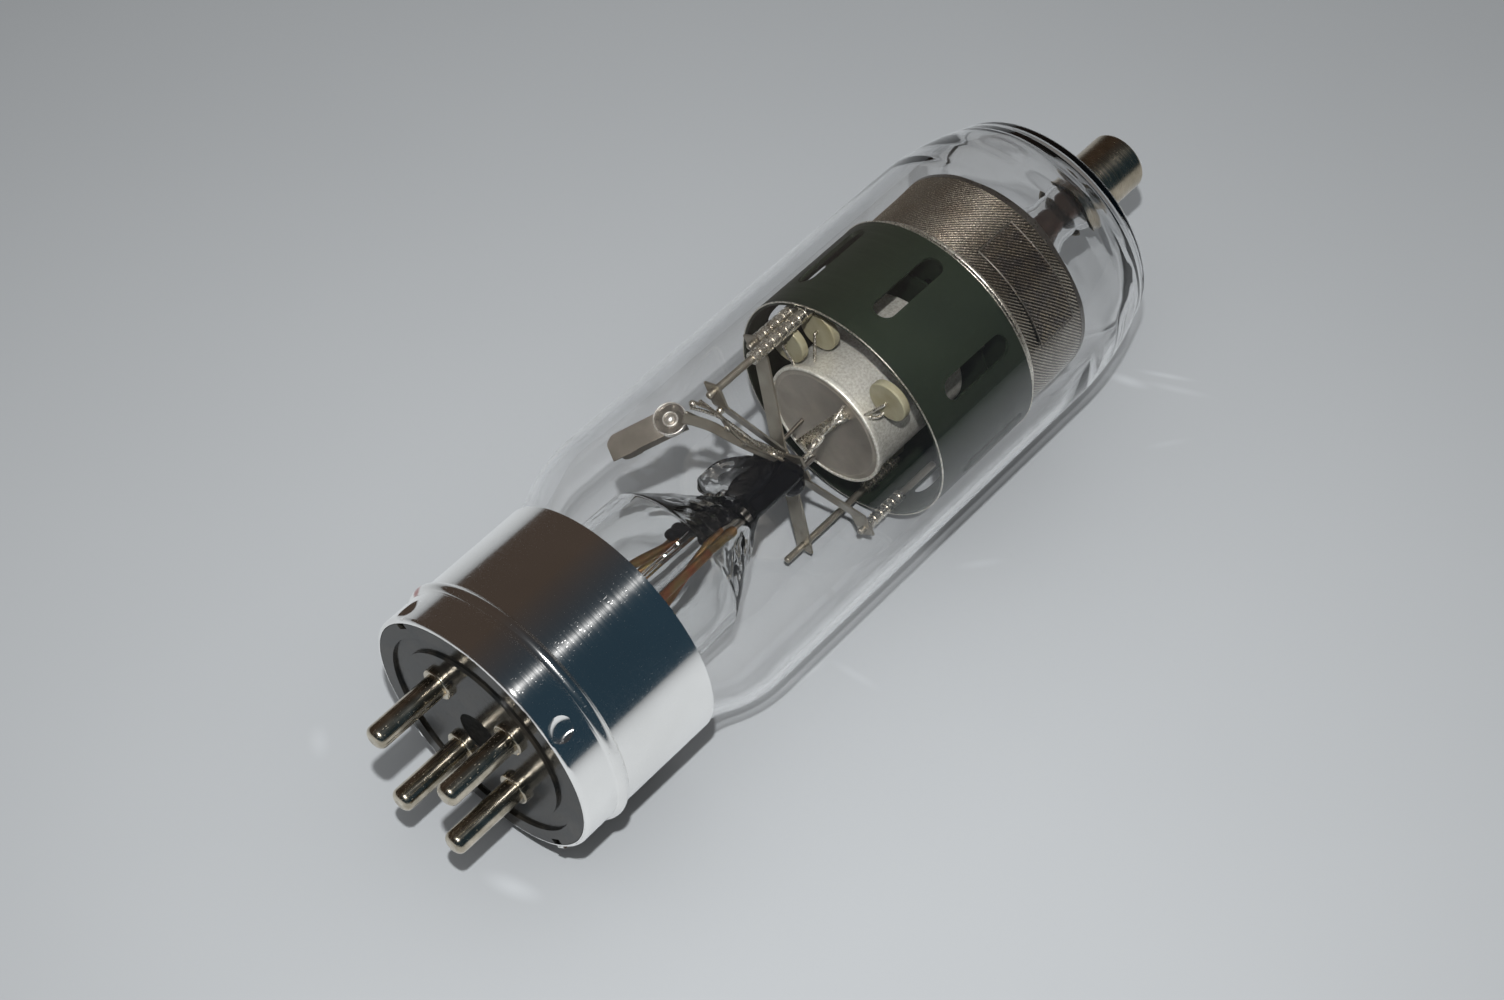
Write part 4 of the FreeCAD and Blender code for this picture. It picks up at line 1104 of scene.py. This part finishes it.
class Trim:
    """Bent wires, ribbons and welded spots of the inner frame that the solids leave out."""

    STRANDS: ClassVar[tuple[Strand, ...]] = (
        Strand("frame_wire_1", 0.42, ((40.7, 11.4, 23.0), (43.3, 7.8, 18.0), (46.8, 4.6, 12.0),
                                      (49.5, 0.6, 6.0), (53.4, -1.6, 1.4))),
        Strand("frame_wire_2", 0.36, ((39.0, 12.4, 21.6), (44.8, 9.2, 16.6), (46.0, 5.6, 11.4),
                                      (51.2, 1.4, 6.4), (54.2, -1.2, 1.6))),
        Strand("frame_ribbon_1", 1.25, ((39.5, 11.2, 23.5), (43.6, 8.9, 19.0), (43.9, 6.8, 15.0),
                                        (45.8, 3.9, 10.5), (50.6, 0.1, 5.0), (53.6, -2.3, 1.0)), 0.2, 1.1),
        Strand("frame_ribbon_2", 1.1, ((36.9, 12.6, 20.0), (40.8, 10.2, 17.0), (44.4, 5.7, 12.0),
                                       (49.5, 0.6, 6.0), (53.4, -1.0, 1.6)), 0.2, -0.6),
        Strand("getter_wire_2", 0.38, ((39.6, 13.4, 15.4), (45.6, 9.2, 11.2), (50.6, 2.2, 5.2),
                                       (54.4, -2.6, 0.8))),
        Strand("terminal_wire_1", 0.42, ((54.4, -3.0, 0.6), (57.0, -4.4, 3.4), (59.4, -3.6, 5.0),
                                         (61.6, -5.6, 8.6), (64.4, -5.8, 11.4), (66.5, -5.4, 11.6))),
        Strand("terminal_wire_2", 0.36, ((54.4, -4.6, 0.2), (56.6, -3.2, 3.0), (59.8, -5.4, 5.6),
                                         (62.0, -3.8, 7.8), (64.2, -6.8, 9.6), (66.5, -6.6, 9.2))),
        Strand("disc_wire_1", 0.33, ((75.2, -13.2, 10.2), (73.4, -14.4, 11.4), (71.6, -12.4, 11.6),
                                     (69.4, -12.6, 10.6), (67.9, -11.2, 11.2))),
    )
    SPOTS: ClassVar[tuple[Four, ...]] = (
        (38.6, 11.4, 24.0, 0.8), (43.8, 8.8, 19.2, 0.85), (43.9, 6.8, 15.2, 0.8), (45.8, 3.9, 10.9, 0.85),
        (50.6, 0.1, 5.6, 0.8), (53.6, -2.3, 1.6, 0.95), (54.5, -2.7, 0.9, 0.75), (59.6, -4.4, 5.4, 0.65),
        (64.5, -6.2, 10.8, 0.75), (39.4, 13.6, 15.6, 0.6), (45.0, 9.4, 11.6, 0.5), (71.6, -12.6, 11.8, 0.5),
        (67.9, -11.2, 11.4, 0.55), (54.0, -5.2, -0.6, 0.7),
    )

    def build(self) -> None:
        """Makes all of them, the round wires brighter than the flat ribbons."""
        for strand in self.STRANDS:
            strand.build(BRIGHT if strand.flat == 1.0 else NICKEL)
        welds = balls("weld_spots", self.SPOTS, 14, 8)
        bpy.ops.object.shade_smooth()
        dress(welds, BRIGHT)


@dataclass
class Base:
    """Crisp rolled bead round the shell, and a black disc of painted shade as the floor of the insert's
    centre hole.
    """

    station: float = -26.15
    width: float = 3.0
    height: float = 0.95
    radius: float = 29.0
    sunk: float = 0.12
    # stations and radius of the disc of painted shade in the centre hole
    bore: Triple = (-36.0, -35.6, 5.46)

    def build(self) -> None:
        """Makes the bead as a thin ring over the shell's own ridge, and a black disc of painted shade in the
        hole.
        """
        start, foot = self.station - self.width / 2, self.radius - self.sunk
        crown = [(start + self.width * k / 14, self.radius + self.height * math.sin(math.pi * k / 14) ** 0.7)
                 for k in range(15)]
        line = [(start, foot), *crown, (start + self.width, foot), (start, foot)]
        dress(turned("shell_bead", line, 192, 50.0), BEAD)
        # painted shade: a black disc just inside the insert's centre hole
        low, high, bore = self.bore
        line = [(low, 0.0), (low, bore), (high, bore), (high, 0.0)]
        dress(turned("bore_shadow", line, 64), HOLE_SHADE)


class Metalwork:
    """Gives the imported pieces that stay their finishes, by the last start that fits their names."""

    FINISHES: ClassVar[dict[str, Finish | Glass]] = {
        "base_shell": SHELL, "base_insert": INSERT, "base_cement": CEMENT, "base_braid_": COPPER,
        "pin_": PIN, "top_cap": CAP, "anode_cup": ANODE, "anode_top": ANODE, "grid_": GREEN,
        "cathode_core": BLASTED, "cathode_feed": WIRE, "heater": HEATER, "heater_terminal": BRIGHT,
        "heater_feed": BRIGHT, "support_": NICKEL, "rod_sleeve_": BRIGHT, "tie_wires": BRIGHT,
        "stem_lead_": WIRE, "exhaust_tube": CLEAR_GLASS, "ceramic_disc_": CERAMIC, "getter_flag": FLAG,
        "getter_wire": NICKEL,
    }

    def build(self) -> None:
        """Assigns them."""
        for name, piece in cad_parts.items():
            for start, finish in self.FINISHES.items():
                if name.startswith(start):
                    for k in range(len(piece.data.materials)):
                        piece.data.materials[k] = finish.material()
        LOG.info("dressed the packed pieces")


@dataclass
class Studio:
    """Pale floor, one small main lamp as near as a camera's own, soft fill and the camera."""

    camera_place: Triple = (-0.26415, -0.22297, 0.48616)
    camera_tilt: float = 36.27
    camera_turn: float = -48.263
    lens: float = 64.45
    lamp_place: Triple = (-0.239, -0.193, 0.595)
    lamp_size: float = 0.016
    lamp_spread: float = 140.0
    lamp_power: float = 1.66
    fill_place: Triple = (0.0, 0.0, 1.6)
    fill_size: float = 3.0
    fill_power: float = 14.5
    sky: float = 0.1
    floor_size: float = 1.7
    floor_gap: float = 0.05
    # painted reflection: how much brighter the floor shows in metal's reflections
    painted_reflection_gain: float = 1.25
    # painted pool of light: centre, reach and outer share of the floor's fading brightness
    painted_pool_centre: Triple = (-0.06, -0.06, 0.0)
    fade_reach: float = 0.62
    fade_to: float = 0.55
    BLUE_SIDE: ClassVar[Four] = (0.02, 0.04, 0.058, 1.0)
    BROWN_SIDE: ClassVar[Four] = (0.06, 0.045, 0.036, 1.0)
    THROUGH_GLASS: ClassVar[Triple] = (0.16, 0.15, 0.14)
    # painted caustic streaks on the floor: start and end in mm, width, and added brightness
    PAINTED_CAUSTICS: ClassVar[tuple[tuple[float, ...], ...]] = (
        (89.0, -26.5, 96.4, -40.2, 1.1, 0.16), (87.0, -29.0, 94.8, -45.6, 1.4, 0.1),
        (84.0, -23.0, 87.0, -32.0, 2.0, 0.2), (-104.3, -9.0, -101.2, -19.0, 3.2, 0.2),
        (-107.0, 38.5, -104.0, 42.5, 3.0, 0.09), (-36.1, -21.8, -18.5, -26.3, 1.6, 0.1),
        (-18.5, -26.3, -17.2, -39.2, 1.6, 0.07), (18.0, -31.0, 27.0, -38.0, 1.6, 0.08),
        (72.0, -42.0, 82.0, -49.0, 1.2, 0.06),
    )

    def build(self) -> None:
        """Makes the floor, the lamps, the world and the camera."""
        self.floor()
        self.lamps()
        self.world()
        scene = bpy.context.scene
        data = bpy.data.cameras.new("camera")
        camera = bpy.data.objects.new("camera", data)
        scene.collection.objects.link(camera)
        camera.location = self.camera_place
        camera.rotation_euler = (math.radians(self.camera_tilt), 0.0, math.radians(self.camera_turn))
        data.lens = self.lens
        data.sensor_width = 36.0
        data.clip_start, data.clip_end = 0.01, 50.0
        scene.camera = camera
        scene.view_settings.view_transform = "Standard"
        scene.cycles.caustics_refractive = False
        scene.cycles.caustics_reflective = False

    def floor(self) -> None:
        """A wide pale sheet just under the tube, with painted light on it."""
        deselect()
        bpy.ops.mesh.primitive_plane_add(size=self.floor_size, location=(0.0, 0.0, -self.floor_gap * MM))
        floor = bpy.context.object
        floor.name = "floor"
        floor.data.materials.append(PALE.material())
        self.paint_floor_light(Wiring(PALE.material()))

    def paint_floor_light(self, wiring: Wiring) -> None:
        """Paints light on the floor: a pool of light that fades outwards, faint caustic streaks beside the
        glass, and a brighter floor in reflections.

        Args:
            wiring: wiring of the floor's material.
        """
        shader = wiring.nodes["Principled BSDF"]
        plain = shader.inputs["Base Color"].links[0].from_socket
        # painted pool of light, fading outwards
        fade = wiring.spread(wiring.away(self.painted_pool_centre), (0.0, self.fade_reach), (1.0, self.fade_to),
                             "SMOOTHSTEP")
        # painted reflection: the floor is brighter where glossy rays meet it
        path = wiring.add("LightPath").outputs
        seen_in_reflection = wiring.count("SUBTRACT", path["Is Glossy Ray"], path["Is Transmission Ray"], True)
        total = wiring.add("Mix", {"Factor": seen_in_reflection, "A": fade, "B": self.painted_reflection_gain}).outputs["Result"]
        # painted caustic streaks beside the glass
        for x0, y0, x1, y1, width, gain in self.PAINTED_CAUSTICS:
            length = math.hypot(x1 - x0, y1 - y0)
            turned_to = wiring.add("Mapping", {
                "Vector": wiring.place, "Location": ((x0 + x1) / 2 * MM, (y0 + y1) / 2 * MM, 0.0),
                "Rotation": (0.0, 0.0, math.atan2(y1 - y0, x1 - x0)),
                "Scale": ((length / 2 + width) * MM, width * MM, 1.0)}, vector_type="TEXTURE")
            reach = wiring.length(turned_to.outputs["Vector"])
            total = wiring.count("ADD", total, wiring.spread(reach, (0.0, 1.0), (gain, 0.0), "SMOOTHSTEP"))
        lit = wiring.add("VectorMath", {0: plain, "Scale": total}, operation="SCALE").outputs["Vector"]
        wiring.feed(shader, {"Base Color": lit})

    def lamp(self, name: str, shape: str, size: float, power: float, place: Triple) -> Piece:
        """Adds an area lamp that shines straight down.

        Args:
            name: name of the lamp.
            shape: "DISK" or "SQUARE".
            size: its size in metres.
            power: its power in watts.
            place: where it hangs, in metres.

        Returns:
            The lamp.
        """
        data = bpy.data.lights.new(name, "AREA")
        data.shape, data.size, data.energy = shape, size, power
        lamp = bpy.data.objects.new(name, data)
        lamp.location = place
        bpy.context.scene.collection.objects.link(lamp)
        return lamp

    def lamps(self) -> None:
        """The main lamp, aimed at the tube, and a soft ceiling that neither metal nor glass shows."""
        main_lamp = self.lamp("main lamp", "DISK", self.lamp_size, self.lamp_power, self.lamp_place)
        main_lamp.data.spread = math.radians(self.lamp_spread)
        main_lamp.rotation_euler = Vector(self.lamp_place).to_track_quat("Z", "Y").to_euler()
        ceiling = self.lamp("ceiling", "SQUARE", self.fill_size, self.fill_power, self.fill_place)
        ceiling.data.cycles.use_multiple_importance_sampling = False
        ceiling.visible_glossy = False
        ceiling.visible_transmission = False

    def world(self) -> None:
        """Plain grey light all round, and a dim room for metal and glass to show."""
        world = bpy.data.worlds.new("room")
        bpy.context.scene.world = world
        wiring = Wiring(world)
        plain = wiring.nodes["Background"]
        wiring.feed(plain, {"Color": (1.0, 1.0, 1.0, 1.0), "Strength": self.sky})
        parts = wiring.add("SeparateXYZ", {"Vector": wiring.place.node.outputs["Generated"]})
        ramp = wiring.add("ValToRGB", {"Fac": wiring.spread(parts.outputs["Y"], (-1.0, 1.0))})
        ends = zip(ramp.color_ramp.elements, (0.3, 0.75), (self.BLUE_SIDE, self.BROWN_SIDE))
        for element, position, colour in ends:
            element.position, element.color = position, colour
        path = wiring.add("LightPath").outputs
        shown = wiring.blend(path["Is Transmission Ray"], ramp.outputs["Color"], self.THROUGH_GLASS)
        room = wiring.add("Background", {"Color": shown})
        either = wiring.count("MAXIMUM", path["Is Glossy Ray"], path["Is Transmission Ray"])
        mix = wiring.add("MixShader", {"Fac": either, 1: plain.outputs["Background"],
                                       2: room.outputs["Background"]})
        wiring.feed(wiring.nodes["World Output"], {"Surface": mix.outputs["Shader"]})


def main() -> None:
    """Builds every part of the scene in order."""
    logging.basicConfig(level=logging.INFO, format="%(message)s")
    for part in (Metalwork(), Bulb(), Stem(), Gauze(), Bands(), AnodeLead(), Cathode(), Getter(), Trim(),
                 Base(), Studio()):
        part.build()
        LOG.info("%s is in place", type(part).__name__)


if __name__ == "__main__":
    main()
